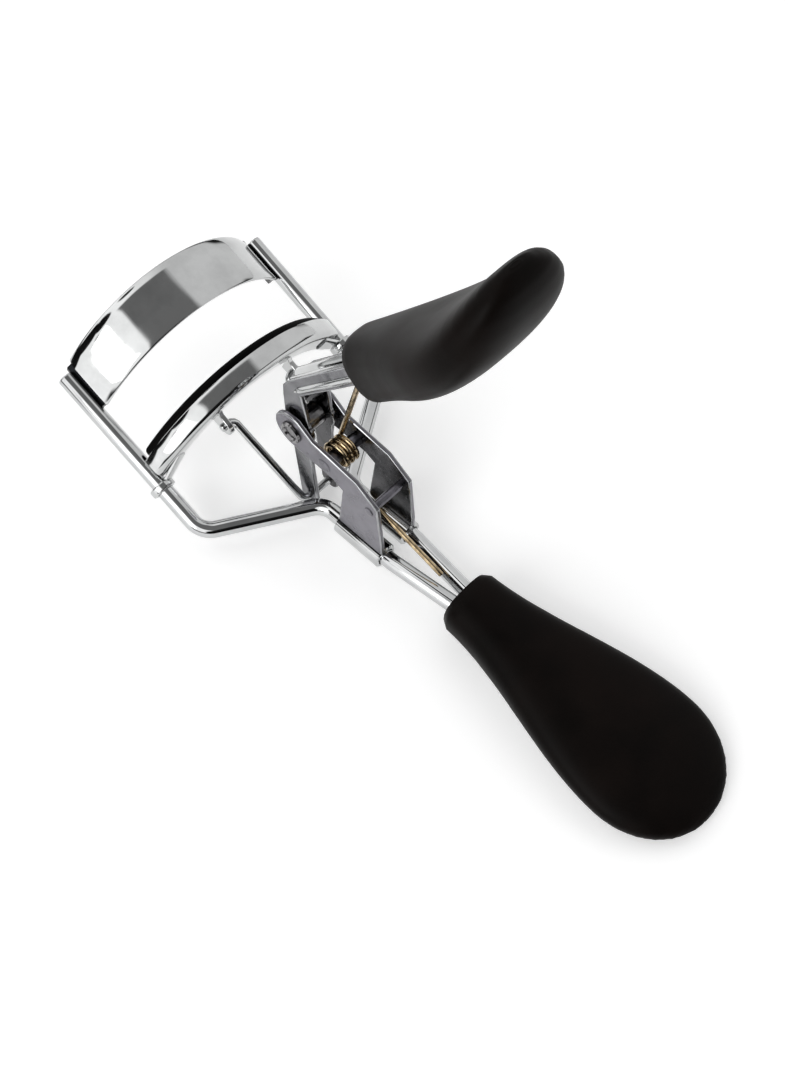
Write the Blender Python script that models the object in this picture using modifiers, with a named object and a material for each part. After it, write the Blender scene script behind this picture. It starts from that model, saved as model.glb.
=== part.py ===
"""Eyelash curler: a bent-wire frame with a fixed upper bow, a sliding padded jaw and a sprung squeeze lever.

Frame: +Z up, +Y from the fixed grip towards the bows, X across the two rails. Lengths are in metres.
Section points are (y, z) pairs in the plane of symmetry, measured from the frame's own datum:
y = 0 just behind the hinge bracket, z = 0 at the height of the tool's underside.
"""

import math

import bmesh
import bpy
from mathutils import Matrix, Vector

MM = 0.001

# ---- driving sizes, in millimetres ----
WIRE_DIA = 2.4            # frame wire
RAIL_HALF_SPACING = 17.0  # from the middle plane to each rail's centre line
RAIL_TILT_DEG = 23.5      # rails rise towards the bows
RAIL_LENGTH = 27.5        # from the frame corner to the rail tip
FRAME_CORNER_Y = 22.0
WIRE_PLANE_Z = 3.3        # height of the wires' flat run above the underside
SHANK_GAP = 0.3           # between the wires, side by side into the fixed grip
SHANK_PARALLEL_START = 0.6 # the wires run parallel from this far in front of the fixed grip
FRAME_BEND_RADIUS = 3.2
NECK_Y = 13.2             # where the wires spread towards the corners

BOW_END_GAP = 0.45        # from the inner side of each rail to the end of each bow
BOW_SAG = 7.9             # depth of the bows' curve
BOW_NORMAL_OFFSET = 1.0   # bow ends sit this far in front of the rails' plane
BOW_LEAN_DEG = 10.0       # bow edges lean towards the rail tips in the middle
UPPER_BOW_SETBACK = 6.52  # lower edge of the upper bow's ends, back from the rail tips
UPPER_BOW_HEIGHT = 7.9
BOW_SHEET = 0.6
BOW_TAB_DEPTH = 2.0       # flange beside each rail

JAW_LOW = 8.9             # underside of the sliding jaw at rest, along the rails
JAW_HEIGHT = 3.0
JAW_SHEET = 0.5
PAD_THICKNESS = 2.4
PAD_TOP = 13.1            # pad face at rest, along the rails
PAD_CLEARANCE = 0.3       # pad to the jaw's walls and floor
PAD_EDGE_ROUND = 0.45
EYE_HEIGHT = 1.4
EYE_WALL = 0.55
RAIL_CLEARANCE = 0.3
EYE_TONGUE_LENGTH = 3.2
EYE_TONGUE_WIDTH = 1.6
EYE_TONGUE_SHEET = 0.7

LUG_HALF_SPACING = 6.3
LUG_SHEET = 0.8
LUG_RADIUS = 1.4
LINK_AXIS_S = 8.5         # link pivot on the jaw: along the rails
LINK_AXIS_N = 5.5         # and in front of them

LINK_DIA = 1.2
LINK_CLEARANCE = 0.25
LINK_BEND_RADIUS = 1.0
OPEN_PIVOT_TRAVEL = 0.7   # slot run that takes up the link's swing in the lever

PIVOT = (17.6, 17.3)
LINK_FOOT = (16.4, 1.8)   # the link's pivot in the lever
SPRING_AXIS = (11.8, 15.6)
RIVET_AXIS = (3.9, 13.4)

EAR_SHEET = 0.7
EAR_FRONT_Y = 9.7
EAR_REAR_Y = 1.6
EAR_TOP_Z = 17.5
ARM_LOW_Z = 13.9
ARM_TOP_Z = 18.4
ARM_EYE_RADIUS = 3.1
TUBE_WALL = 0.4
TUBE_CLEARANCE = 0.25
TUBE_GAP = 1.1            # between the bracket's two tubes

PIN_DIA = 2.0
PIN_HEAD_DIA = 3.4
PIN_HEAD_HEIGHT = 0.6
RIVET_DIA = 1.4
RIVET_HEAD_DIA = 2.3
PIN_CLEARANCE = 0.25
SIDE_CLEARANCE = 0.3      # between pieces that lie side by side
SLEEVE_WALL = 0.4

LEVER_SHEET = 0.7
LEVER_HALF_WIDTH = 2.3
LEVER_FOOT_HALF = 1.6     # half the width of the short arm
LEVER_BOSS_RADIUS = 2.7
LEVER_STRAP_DEPTH = 2.8
LEVER_ELBOW = (18.5, 24.3)
LEVER_STRAP_DEG = 49.7    # rise of the strap above the fixed handle
LEVER_STRAP_LENGTH = 19.0 # elbow to the mouth of the grip
LEVER_ARM_REACH = 4.2     # the short arm runs straight to this far from the pivot
LEVER_BOSS_ARC_DEG = 38.0 # half of the boss's round on each side
LEVER_ELBOW_EASE = 1.2    # where the strap's outer edge leaves the elbow
LEVER_THROAT_EASE = 1.6   # where its inner edge leaves the throat
LEVER_NECK_INSET = 0.3    # the neck's front stands back from the boss
LEVER_THROAT_INSET = 0.9
LEVER_THROAT_DROP = 3.0   # throat below the elbow
LEVER_WEB_START = 0.9
LEVER_TANG_LENGTH = 13.0  # inside the grip
LEVER_BEAD_RADIUS = 0.55

SPRING_WIRE_DIA = 0.75
SPRING_TURNS = 3
SPRING_PITCH = 0.82
SPRING_BORE_CLEARANCE = 0.35

UPPER_GRIP_LENGTH = 33.2  # along its bent middle line
UPPER_GRIP_HALF_WIDTH = 8.1
UPPER_GRIP_WIDEST = 0.67  # where it is widest, as a share of the length
UPPER_GRIP_CURL_DEG = 50.4 # how far the tip turns outwards
UPPER_GRIP_CURL_POWER = 3.9 # the turn gathers towards the tip
UPPER_NECK_HALF_WIDTH = 4.0
UPPER_NECK_HALF_THICKNESS = 4.2
UPPER_TIP_HALF_THICKNESS = 2.5
LOWER_GRIP_LENGTH = 40.6
LOWER_GRIP_HALF_WIDTH = 9.8
LOWER_GRIP_WIDEST = 0.74
LOWER_GRIP_CURL_DEG = 8.1
LOWER_GRIP_CURL_POWER = 1.2
LOWER_NECK_HALF_WIDTH = 4.5
LOWER_NECK_HALF_THICKNESS = 3.6
LOWER_TIP_HALF_THICKNESS = 2.0
GRIP_SQUARENESS = 2.6     # 2 is an ellipse; more is squarer
GRIP_THINNING = 1.8       # power of the thickness along the grip
GRIP_MOUTH_Y = -10.2
GRIP_RISE = 0.7           # grip's centre line above the wires
GRIP_POCKET_DEPTH = 26.0
GRIP_CLEARANCE = 0.3
GRIP_LAND_DEPTH = 0.25    # flat on the underside that the tool lies on

ROUND_STEPS = 28
WIRE_BEND_STEPS = 7

# ---- values that follow from the sizes above ----
WIRE_R = WIRE_DIA / 2
TILT = math.radians(RAIL_TILT_DEG)
LEAN = math.radians(BOW_LEAN_DEG)
SHANK_HALF_SPACING = WIRE_R + SHANK_GAP / 2
BOW_HALF_CHORD = RAIL_HALF_SPACING - WIRE_R - BOW_END_GAP
UPPER_BOW_LOW = RAIL_LENGTH - UPPER_BOW_SETBACK
ALONG = Vector((0.0, math.cos(TILT), math.sin(TILT)))
NORMAL = Vector((0.0, -math.sin(TILT), math.cos(TILT)))
CORNER = Vector((0.0, FRAME_CORNER_Y, WIRE_PLANE_Z))
BOW_RADIUS = (BOW_HALF_CHORD**2 + BOW_SAG**2) / (2 * BOW_SAG)
BOW_HALF_ANGLE = math.asin(BOW_HALF_CHORD / BOW_RADIUS)
TUBE_BORE_R = WIRE_R + TUBE_CLEARANCE
TUBE_R = TUBE_BORE_R + TUBE_WALL
EAR_INNER_HALF = LEVER_HALF_WIDTH + SIDE_CLEARANCE
EAR_OUTER_HALF = EAR_INNER_HALF + EAR_SHEET
NECK_HALF_SPACING = TUBE_R + TUBE_GAP / 2
LINK_R = LINK_DIA / 2
LINK_HOLE_R = LINK_R + LINK_CLEARANCE
STRAP_DIR = Vector((-math.cos(math.radians(LEVER_STRAP_DEG)), math.sin(math.radians(LEVER_STRAP_DEG))))
STRAP_OUT = Vector((STRAP_DIR.y, -STRAP_DIR.x))


def rail_frame(x, s, n):
    """A point at x across, s along the rails and n in front of them, in millimetres."""
    return CORNER + ALONG * s + NORMAL * n + Vector((x, 0.0, 0.0))


def bow_point(angle, s, radial=0.0):
    """A point on the bows' cylinder: angle from the middle, s along the rails, radial off the middle sheet."""
    radius = BOW_RADIUS + radial
    rise = radius * math.cos(angle) - (BOW_RADIUS - BOW_SAG)
    lean = (BOW_RADIUS * math.cos(angle) - (BOW_RADIUS - BOW_SAG)) * math.sin(LEAN)
    return rail_frame(radius * math.sin(angle), s + lean, BOW_NORMAL_OFFSET + rise * math.cos(LEAN))


def clear_scene():
    for obj in list(bpy.data.objects):
        bpy.data.objects.remove(obj, do_unlink=True)


def new_collection(name):
    collection = bpy.data.collections.new(name)
    bpy.context.scene.collection.children.link(collection)
    return collection


def make_material(name, colour, roughness, metallic):
    material = bpy.data.materials.new(name)
    material.use_nodes = True
    shader = material.node_tree.nodes["Principled BSDF"]
    shader.inputs["Base Color"].default_value = (*colour, 1.0)
    shader.inputs["Roughness"].default_value = roughness
    shader.inputs["Metallic"].default_value = metallic
    return material


def add_mesh_object(name, bm, collection, material=None):
    """A mesh object from a bmesh in millimetres, its faces turned outwards."""
    bmesh.ops.scale(bm, vec=(MM, MM, MM), verts=bm.verts)
    bmesh.ops.recalc_face_normals(bm, faces=bm.faces)
    mesh = bpy.data.meshes.new(name)
    bm.to_mesh(mesh)
    bm.free()
    mesh.shade_smooth()
    mesh.set_sharp_from_angle(angle=math.radians(35))
    obj = bpy.data.objects.new(name, mesh)
    collection.objects.link(obj)
    if material:
        mesh.materials.append(material)
    return obj


def add_cutter(name, bm, cutters):
    obj = add_mesh_object(name, bm, cutters)
    obj.hide_render = True
    obj.display_type = "WIRE"
    return obj


def cut(obj, cutter):
    modifier = obj.modifiers.new("cut " + cutter.name, "BOOLEAN")
    modifier.operation = "DIFFERENCE"
    modifier.object = cutter


def join(obj, other):
    modifier = obj.modifiers.new("join " + other.name, "BOOLEAN")
    modifier.operation = "UNION"
    modifier.object = other


def loft(rings):
    """A closed bmesh through rings of equally many points, capped at both ends."""
    bm = bmesh.new()
    loops = [[bm.verts.new(point) for point in ring] for ring in rings]
    for low, high in zip(loops, loops[1:]):
        count = len(low)
        for i in range(count):
            bm.faces.new((low[i], low[(i + 1) % count], high[(i + 1) % count], high[i]))
    bm.faces.new(loops[0][::-1])
    bm.faces.new(loops[-1])
    return bm


def plate(outline, x_low, x_high):
    """A flat sheet parallel to the middle plane: an outline of (y, z) points, thick from x_low to x_high."""
    bm = bmesh.new()
    face = bm.faces.new([bm.verts.new((x_low, y, z)) for y, z in outline])
    grown = bmesh.ops.extrude_face_region(bm, geom=[face])
    moved = [item for item in grown["geom"] if isinstance(item, bmesh.types.BMVert)]
    bmesh.ops.translate(bm, vec=(x_high - x_low, 0.0, 0.0), verts=moved)
    return bm


def cylinder(start, end, radius, steps=ROUND_STEPS):
    start, end = Vector(start), Vector(end)
    bm = bmesh.new()
    bmesh.ops.create_cone(bm, cap_ends=True, segments=steps, radius1=radius, radius2=radius,
                          depth=(end - start).length)
    turn = (end - start).to_track_quat("Z", "Y").to_matrix().to_4x4()
    bmesh.ops.transform(bm, matrix=Matrix.Translation((start + end) / 2) @ turn, verts=bm.verts)
    return bm


def cross_cylinder(centre, x_low, x_high, radius):
    """A cylinder along X at a (y, z) centre."""
    return cylinder((x_low, *centre), (x_high, *centre), radius)


def box(centre, size, turn=None):
    bm = bmesh.new()
    bmesh.ops.create_cube(bm, size=1.0)
    matrix = Matrix.Translation(centre) @ (turn or Matrix.Identity(4)) @ Matrix.Diagonal((*size, 1.0))
    bmesh.ops.transform(bm, matrix=matrix, verts=bm.verts)
    return bm


def turned_pin(name, centre, profile, collection, material):
    """A round pin along X: profile of (x, radius) from its +X end to its -X end, swept by a Screw modifier."""
    mesh = bpy.data.meshes.new(name)
    points = [(0.0, profile[0][0])] + [(r, x) for x, r in profile] + [(0.0, profile[-1][0])]
    mesh.from_pydata([(r * MM, 0.0, x * MM) for r, x in points],
                     [(i, i + 1) for i in range(len(points) - 1)], [])
    mesh.materials.append(material)
    obj = bpy.data.objects.new(name, mesh)
    collection.objects.link(obj)
    obj.location = (0.0, centre[0] * MM, centre[1] * MM)
    obj.rotation_euler = (0.0, math.radians(90), 0.0)
    screw = obj.modifiers.new("turn", "SCREW")
    screw.axis = "Z"
    screw.steps = ROUND_STEPS
    screw.render_steps = ROUND_STEPS
    screw.use_merge_vertices = True
    screw.merge_threshold = 0.00001
    screw.use_smooth_shade = True
    return obj


def headed_profile(half_length, radius, head_radius, head_height):
    """Half-round heads at both ends of a shank."""
    crown = head_radius * 0.62
    end = half_length + head_height
    return [(end, crown), (half_length + head_height * 0.45, head_radius), (half_length, head_radius),
            (half_length, radius), (-half_length, radius), (-half_length, head_radius),
            (-half_length - head_height * 0.45, head_radius), (-end, crown)]


def rounded_path(points, radii, steps=WIRE_BEND_STEPS):
    """The polyline with each inner corner replaced by an arc of its own radius."""
    points = [Vector(p) for p in points]
    path = [points[0]]
    for before, corner, after, radius in zip(points, points[1:], points[2:], radii):
        back = (before - corner).normalized()
        ahead = (after - corner).normalized()
        half = back.angle(ahead) / 2
        reach = radius / math.tan(half)
        centre = corner + (back + ahead).normalized() * radius / math.sin(half)
        start, end = corner + back * reach - centre, corner + ahead * reach - centre
        for i in range(steps + 1):
            path.append(centre + start.slerp(end, i / steps).normalized() * radius)
    path.append(points[-1])
    return path


def wire(name, path, radius, collection, material):
    """A round wire along a polyline, with flat ends."""
    curve = bpy.data.curves.new(name, "CURVE")
    curve.dimensions = "3D"
    curve.bevel_depth = radius * MM
    curve.bevel_resolution = 2
    curve.use_fill_caps = True
    curve.materials.append(material)
    spline = curve.splines.new("POLY")
    spline.points.add(len(path) - 1)
    for point, place in zip(spline.points, path):
        point.co = (*(Vector(place) * MM), 1.0)
    spline.use_smooth = True
    obj = bpy.data.objects.new(name, curve)
    collection.objects.link(obj)
    return obj


def frame_wires(parts, chrome):
    """Each wire runs from inside the fixed grip, through its bracket tube, out to the corner and up its rail."""
    made = []
    for side, name in ((-1, "left_frame_wire"), (1, "right_frame_wire")):
        flat = [
            (side * SHANK_HALF_SPACING, GRIP_MOUTH_Y - GRIP_POCKET_DEPTH + GRIP_CLEARANCE, WIRE_PLANE_Z),
            (side * SHANK_HALF_SPACING, GRIP_MOUTH_Y + SHANK_PARALLEL_START, WIRE_PLANE_Z),
            (side * NECK_HALF_SPACING, EAR_REAR_Y - 1.0, WIRE_PLANE_Z),
            (side * NECK_HALF_SPACING, NECK_Y, WIRE_PLANE_Z),
            (side * RAIL_HALF_SPACING, FRAME_CORNER_Y, WIRE_PLANE_Z),
            rail_frame(side * RAIL_HALF_SPACING, RAIL_LENGTH, 0.0),
        ]
        radii = [6.0, 6.0, FRAME_BEND_RADIUS, FRAME_BEND_RADIUS]
        made.append(wire(name, rounded_path(flat, radii), WIRE_R, parts, chrome))
    return made


def bow_band(radial_low, radial_high, s_low, s_high, half_angle, steps=26):
    """A curved bar following the bows between two radial offsets and two heights."""
    rings = []
    for i in range(steps + 1):
        angle = half_angle * (2 * i / steps - 1)
        rings.append([bow_point(angle, s_low, radial_low), bow_point(angle, s_low, radial_high),
                      bow_point(angle, s_high, radial_high), bow_point(angle, s_high, radial_low)])
    return loft(rings)


def upper_bow(parts, cutters, chrome):
    """The fixed curved plate, with a short flange at each end lying beside the rail."""
    s_low, s_high = UPPER_BOW_LOW, UPPER_BOW_LOW + UPPER_BOW_HEIGHT
    half = BOW_SHEET / 2
    bow = add_mesh_object("upper_bow_plate", bow_band(-half, half, s_low, s_high, BOW_HALF_ANGLE), parts, chrome)
    for side in (-1, 1):
        end = bow_point(side * BOW_HALF_ANGLE, 0.0)
        x = end.x - side * half
        centre = rail_frame(x, (s_low + s_high) / 2, BOW_NORMAL_OFFSET - BOW_TAB_DEPTH / 2 + half)
        size = (BOW_SHEET * 0.9, s_high - s_low - 1.0, BOW_TAB_DEPTH + BOW_SHEET)
        tab = add_cutter("bow_tab_" + ("left" if side < 0 else "right"),
                         box(centre, size, Matrix.Rotation(TILT, 4, "X")), cutters)
        join(bow, tab)
    return bow


def lower_jaw(parts, cutters, chrome):
    """The sliding channel that carries the pad: a curved bar with a groove cut along its top."""
    outer = PAD_THICKNESS / 2 + PAD_CLEARANCE + JAW_SHEET
    groove = PAD_THICKNESS / 2 + PAD_CLEARANCE
    jaw = add_mesh_object("lower_jaw_channel",
                          bow_band(-outer, outer, JAW_LOW, JAW_LOW + JAW_HEIGHT, BOW_HALF_ANGLE), parts, chrome)
    channel = add_cutter("jaw_groove",
                         bow_band(-groove, groove, JAW_LOW + JAW_SHEET, JAW_LOW + JAW_HEIGHT + 1.0,
                                  BOW_HALF_ANGLE * 1.04), cutters)
    cut(jaw, channel)
    return jaw


def pad(parts, silicone):
    """The cushion strip, standing proud of the channel, with rounded top edges."""
    half = PAD_THICKNESS / 2
    low = JAW_LOW + JAW_SHEET + PAD_CLEARANCE
    rings = []
    steps = 26
    for i in range(steps + 1):
        angle = BOW_HALF_ANGLE * 0.985 * (2 * i / steps - 1)
        section = [(-half, low), (half, low)]
        for k in range(5):
            turn = math.radians(22.5 * k)
            section.append((half - PAD_EDGE_ROUND * (1 - math.cos(turn)),
                            PAD_TOP - PAD_EDGE_ROUND * (1 - math.sin(turn))))
        for k in range(5):
            turn = math.radians(90 + 22.5 * k)
            section.append((-half + PAD_EDGE_ROUND * (1 + math.cos(turn)),
                            PAD_TOP - PAD_EDGE_ROUND * (1 - math.sin(turn))))
        rings.append([bow_point(angle, s, radial) for radial, s in section])
    return add_mesh_object("silicone_pad", loft(rings), parts, silicone)


def guide_eyes(parts, cutters, chrome):
    """A ring round each rail below the jaw's end, with a tongue under the jaw's floor."""
    made = []
    bore = WIRE_R + RAIL_CLEARANCE
    top = JAW_LOW - SIDE_CLEARANCE
    low = top - EYE_HEIGHT
    for side, name in ((-1, "left_guide_eye"), (1, "right_guide_eye")):
        x = side * RAIL_HALF_SPACING
        eye = add_mesh_object(name, cylinder(rail_frame(x, low, 0), rail_frame(x, top, 0), bore + EYE_WALL),
                              parts, chrome)
        target = bow_point(side * BOW_HALF_ANGLE * 0.78, 0.0)
        target = Vector((target.x - x, (target - CORNER).dot(NORMAL)))
        outward = target.normalized()
        across = Vector((-outward.y, outward.x)) * EYE_TONGUE_WIDTH / 2
        rings = []
        for reach in (bore + EYE_WALL * 0.3, bore + EYE_TONGUE_LENGTH):
            middle = outward * reach
            rings.append([rail_frame(x + (middle + across * a).x, top - EYE_TONGUE_SHEET * b, (middle + across * a).y)
                          for a, b in ((-1, 0), (1, 0), (1, 1), (-1, 1))])
        tongue = add_cutter(name + "_tongue", loft(rings), cutters)
        join(eye, tongue)
        hole = add_cutter(name + "_bore",
                          cylinder(rail_frame(x, low - 1, 0), rail_frame(x, top + 1, 0), bore), cutters)
        cut(eye, hole)
        made.append(eye)
    return made


def lug_top(x):
    """Height along the rails of the jaw's underside over a lug at x."""
    angle = math.asin(x / BOW_RADIUS)
    return JAW_LOW + (BOW_RADIUS * math.cos(angle) - (BOW_RADIUS - BOW_SAG)) * math.sin(LEAN)


def jaw_lugs(parts, cutters, chrome):
    """Two small ears under the jaw's inner edge, bored for the ends of the link."""
    made = []
    for side, name in ((-1, "left_jaw_lug"), (1, "right_jaw_lug")):
        top = lug_top(LUG_HALF_SPACING) - SIDE_CLEARANCE
        outline = []
        for k in range(13):
            turn = math.radians(180 + 15 * k)
            outline.append((LINK_AXIS_N + LUG_RADIUS * math.cos(turn), LINK_AXIS_S + LUG_RADIUS * math.sin(turn)))
        outline += [(LINK_AXIS_N + LUG_RADIUS, top - 0.3), (LINK_AXIS_N + LUG_RADIUS + 1.0, top),
                    (LINK_AXIS_N - LUG_RADIUS, top)]
        inner = side * (LUG_HALF_SPACING - LUG_SHEET / 2)
        outer = side * (LUG_HALF_SPACING + LUG_SHEET / 2)
        points = [rail_frame(0.0, s, n) for n, s in outline]
        lug = add_mesh_object(name, plate([(p.y, p.z) for p in points], inner, outer), parts, chrome)
        centre = rail_frame(0.0, LINK_AXIS_S, LINK_AXIS_N)
        hole = add_cutter(name + "_bore", cross_cylinder((centre.y, centre.z), inner - side, outer + side,
                                                         LINK_HOLE_R), cutters)
        cut(lug, hole)
        made.append(lug)
    return made


def link_bail(parts, steel):
    """One wire: through the left lug, down to the lever's foot, across it and back up to the right lug."""
    jaw = rail_frame(0.0, LINK_AXIS_S, LINK_AXIS_N)
    lug_in = LUG_HALF_SPACING - LUG_SHEET / 2 - SIDE_CLEARANCE - LINK_R
    lug_out = LUG_HALF_SPACING + LUG_SHEET / 2 + 0.7
    foot = LEVER_HALF_WIDTH + SIDE_CLEARANCE + LINK_R
    points = []
    for side in (-1, 1):
        run = [(side * lug_out, jaw.y, jaw.z), (side * lug_in, jaw.y, jaw.z), (side * foot, *LINK_FOOT)]
        points += run if side < 0 else run[::-1]
    return wire("link_bail", rounded_path(points, [LINK_BEND_RADIUS] * 4, 5), LINK_R, parts, steel)


def ear_outline():
    """The ear above its tube, with an arm reaching forward to the pivot's eye."""
    low = WIRE_PLANE_Z + TUBE_BORE_R + 0.05
    outline = [(EAR_FRONT_Y, low), (EAR_FRONT_Y - 1.0, ARM_LOW_Z - 0.8), (EAR_FRONT_Y + 0.6, ARM_LOW_Z)]
    start = math.asin(max(-1.0, (ARM_LOW_Z - PIVOT[1]) / ARM_EYE_RADIUS * 0.92))
    start = -math.pi - start
    for k in range(19):
        turn = start + (math.radians(112) - start) * k / 18
        outline.append((PIVOT[0] + ARM_EYE_RADIUS * math.cos(turn), PIVOT[1] + ARM_EYE_RADIUS * math.sin(turn)))
    outline += [(PIVOT[0] - 3.6, ARM_TOP_Z), (EAR_FRONT_Y - 3.4, EAR_TOP_Z), (EAR_REAR_Y + 0.9, EAR_TOP_Z - 2.5),
                (EAR_REAR_Y, EAR_TOP_Z - 10.5), (EAR_REAR_Y, low)]
    return outline


def bracket_ears(parts, cutters, chrome):
    made = []
    for side, name in ((-1, "left_bracket_ear"), (1, "right_bracket_ear")):
        ear = add_mesh_object(name, plate(ear_outline(), side * EAR_INNER_HALF, side * EAR_OUTER_HALF), parts, chrome)
        x = side * NECK_HALF_SPACING
        tube = add_cutter(name + "_tube", cylinder((x, EAR_REAR_Y, WIRE_PLANE_Z), (x, EAR_FRONT_Y, WIRE_PLANE_Z),
                                                   TUBE_R), cutters)
        join(ear, tube)
        bore = add_cutter(name + "_bore", cylinder((x, EAR_REAR_Y - 2, WIRE_PLANE_Z),
                                                   (x, EAR_FRONT_Y + 2, WIRE_PLANE_Z), TUBE_BORE_R), cutters)
        cut(ear, bore)
        for label, centre, diameter in (("pivot", PIVOT, PIN_DIA), ("spring", SPRING_AXIS, PIN_DIA),
                                        ("rivet", RIVET_AXIS, RIVET_DIA)):
            hole = add_cutter(f"{name}_{label}_hole",
                              cross_cylinder(centre, side * EAR_INNER_HALF - side, side * EAR_OUTER_HALF + side,
                                             diameter / 2 + PIN_CLEARANCE), cutters)
            cut(ear, hole)
        made.append(ear)
    return made


def pins(parts, steel):
    half = EAR_OUTER_HALF + SIDE_CLEARANCE
    made = []
    for name, centre, diameter, head in (("pivot_pin", PIVOT, PIN_DIA, PIN_HEAD_DIA),
                                         ("spring_pin", SPRING_AXIS, PIN_DIA, PIN_HEAD_DIA),
                                         ("bracket_rivet", RIVET_AXIS, RIVET_DIA, RIVET_HEAD_DIA)):
        profile = headed_profile(half, diameter / 2, head / 2, PIN_HEAD_HEIGHT)
        made.append(turned_pin(name, centre, profile, parts, steel))
    return made


def pivot_sleeve(parts, cutters, steel):
    """The spacer tube on the pivot pin between the lever's two sides."""
    half = LEVER_HALF_WIDTH - LEVER_SHEET - SIDE_CLEARANCE
    bore = PIN_DIA / 2 + PIN_CLEARANCE
    sleeve = add_mesh_object("pivot_sleeve", cross_cylinder(PIVOT, -half, half, bore + SLEEVE_WALL), parts, steel)
    hole = add_cutter("sleeve_bore", cross_cylinder(PIVOT, -half - 1, half + 1, bore), cutters)
    cut(sleeve, hole)
    return sleeve


def lever_outline():
    """One side of the lever: foot, boss at the pivot, elbow and the straight flange up into the grip."""
    foot, pivot = Vector(LINK_FOOT), Vector(PIVOT)
    along = (pivot - foot).normalized()
    across = Vector((along.y, -along.x))
    elbow = Vector(LEVER_ELBOW)
    end = elbow + STRAP_DIR * (LEVER_STRAP_LENGTH + LEVER_TANG_LENGTH)
    half = LEVER_STRAP_DEPTH / 2
    base = math.atan2(-along.y, -along.x)
    outline = []
    for k in range(13):
        turn = base - math.pi / 2 + math.pi * k / 12
        outline.append(foot + LEVER_FOOT_HALF * Vector((math.cos(turn), math.sin(turn))))
    outline.append(pivot - along * LEVER_ARM_REACH + across * LEVER_FOOT_HALF)
    side = math.atan2(across.y, across.x)
    for k in range(5):
        turn = side + math.radians(LEVER_BOSS_ARC_DEG * (k / 2 - 1))
        outline.append(pivot + LEVER_BOSS_RADIUS * Vector((math.cos(turn), math.sin(turn))))
    front = elbow + STRAP_OUT * half
    neck_y = pivot.x + LEVER_BOSS_RADIUS - LEVER_NECK_INSET
    outline.append(Vector((neck_y, front.y - 2.6)))
    outline.append(Vector((neck_y, front.y - 0.7)))
    outline.append(front + STRAP_DIR * LEVER_ELBOW_EASE)
    outline.append(end + STRAP_OUT * half)
    outline.append(end - STRAP_OUT * half)
    outline.append(elbow - STRAP_OUT * half + STRAP_DIR * LEVER_THROAT_EASE)
    outline.append(Vector((pivot.x - LEVER_BOSS_RADIUS + LEVER_THROAT_INSET, elbow.y - LEVER_THROAT_DROP)))
    for k in range(5):
        turn = side + math.pi + math.radians(LEVER_BOSS_ARC_DEG * (k / 2 - 1))
        outline.append(pivot + LEVER_BOSS_RADIUS * Vector((math.cos(turn), math.sin(turn))))
    outline.append(pivot - along * LEVER_ARM_REACH - across * LEVER_FOOT_HALF)
    return outline


def strap_point(distance, out):
    """A (y, z) point on the strap: distance from the elbow, out from its middle line."""
    return Vector(LEVER_ELBOW) + STRAP_DIR * distance + STRAP_OUT * out


def lever_channel(parts, cutters, chrome):
    """A folded channel: two sides joined by a web on the outer face, with a pressed bead along it."""
    inner = LEVER_HALF_WIDTH - LEVER_SHEET
    outline = lever_outline()
    lever = add_mesh_object("lever_channel", plate(outline, -LEVER_HALF_WIDTH, -inner), parts, chrome)
    right = add_cutter("lever_right_side", plate(outline, inner, LEVER_HALF_WIDTH), cutters)
    reach = LEVER_STRAP_LENGTH + LEVER_TANG_LENGTH
    half = LEVER_STRAP_DEPTH / 2
    corners = [strap_point(LEVER_WEB_START, half), strap_point(reach, half),
               strap_point(reach, half - LEVER_SHEET), strap_point(LEVER_WEB_START, half - LEVER_SHEET)]
    web = add_cutter("lever_web", plate(corners, -LEVER_HALF_WIDTH, LEVER_HALF_WIDTH), cutters)
    bead_start, bead_end = strap_point(2.0, half - 0.1), strap_point(LEVER_STRAP_LENGTH - 0.6, half - 0.1)
    bead = add_cutter("lever_bead", cylinder((0.0, *bead_start), (0.0, *bead_end), LEVER_BEAD_RADIUS, 12), cutters)
    join(lever, web)
    join(lever, right)
    join(lever, bead)
    bore = add_cutter("lever_pivot_bore", cross_cylinder(PIVOT, -4.0, 4.0, PIN_DIA / 2 + PIN_CLEARANCE), cutters)
    cut(lever, bore)
    foot, pivot = Vector(LINK_FOOT), Vector(PIVOT)
    along = (pivot - foot).normalized()
    base = math.atan2(-along.y, -along.x)
    slot = []
    for k in range(13):
        turn = base - math.pi / 2 + math.pi * k / 12
        slot.append(foot + LINK_HOLE_R * Vector((math.cos(turn), math.sin(turn))))
    for k in range(13):
        turn = base + math.pi / 2 + math.pi * k / 12
        slot.append(foot + along * OPEN_PIVOT_TRAVEL + LINK_HOLE_R * Vector((math.cos(turn), math.sin(turn))))
    cut(lever, add_cutter("lever_foot_slot", plate(slot, -4.0, 4.0), cutters))
    return lever


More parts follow.
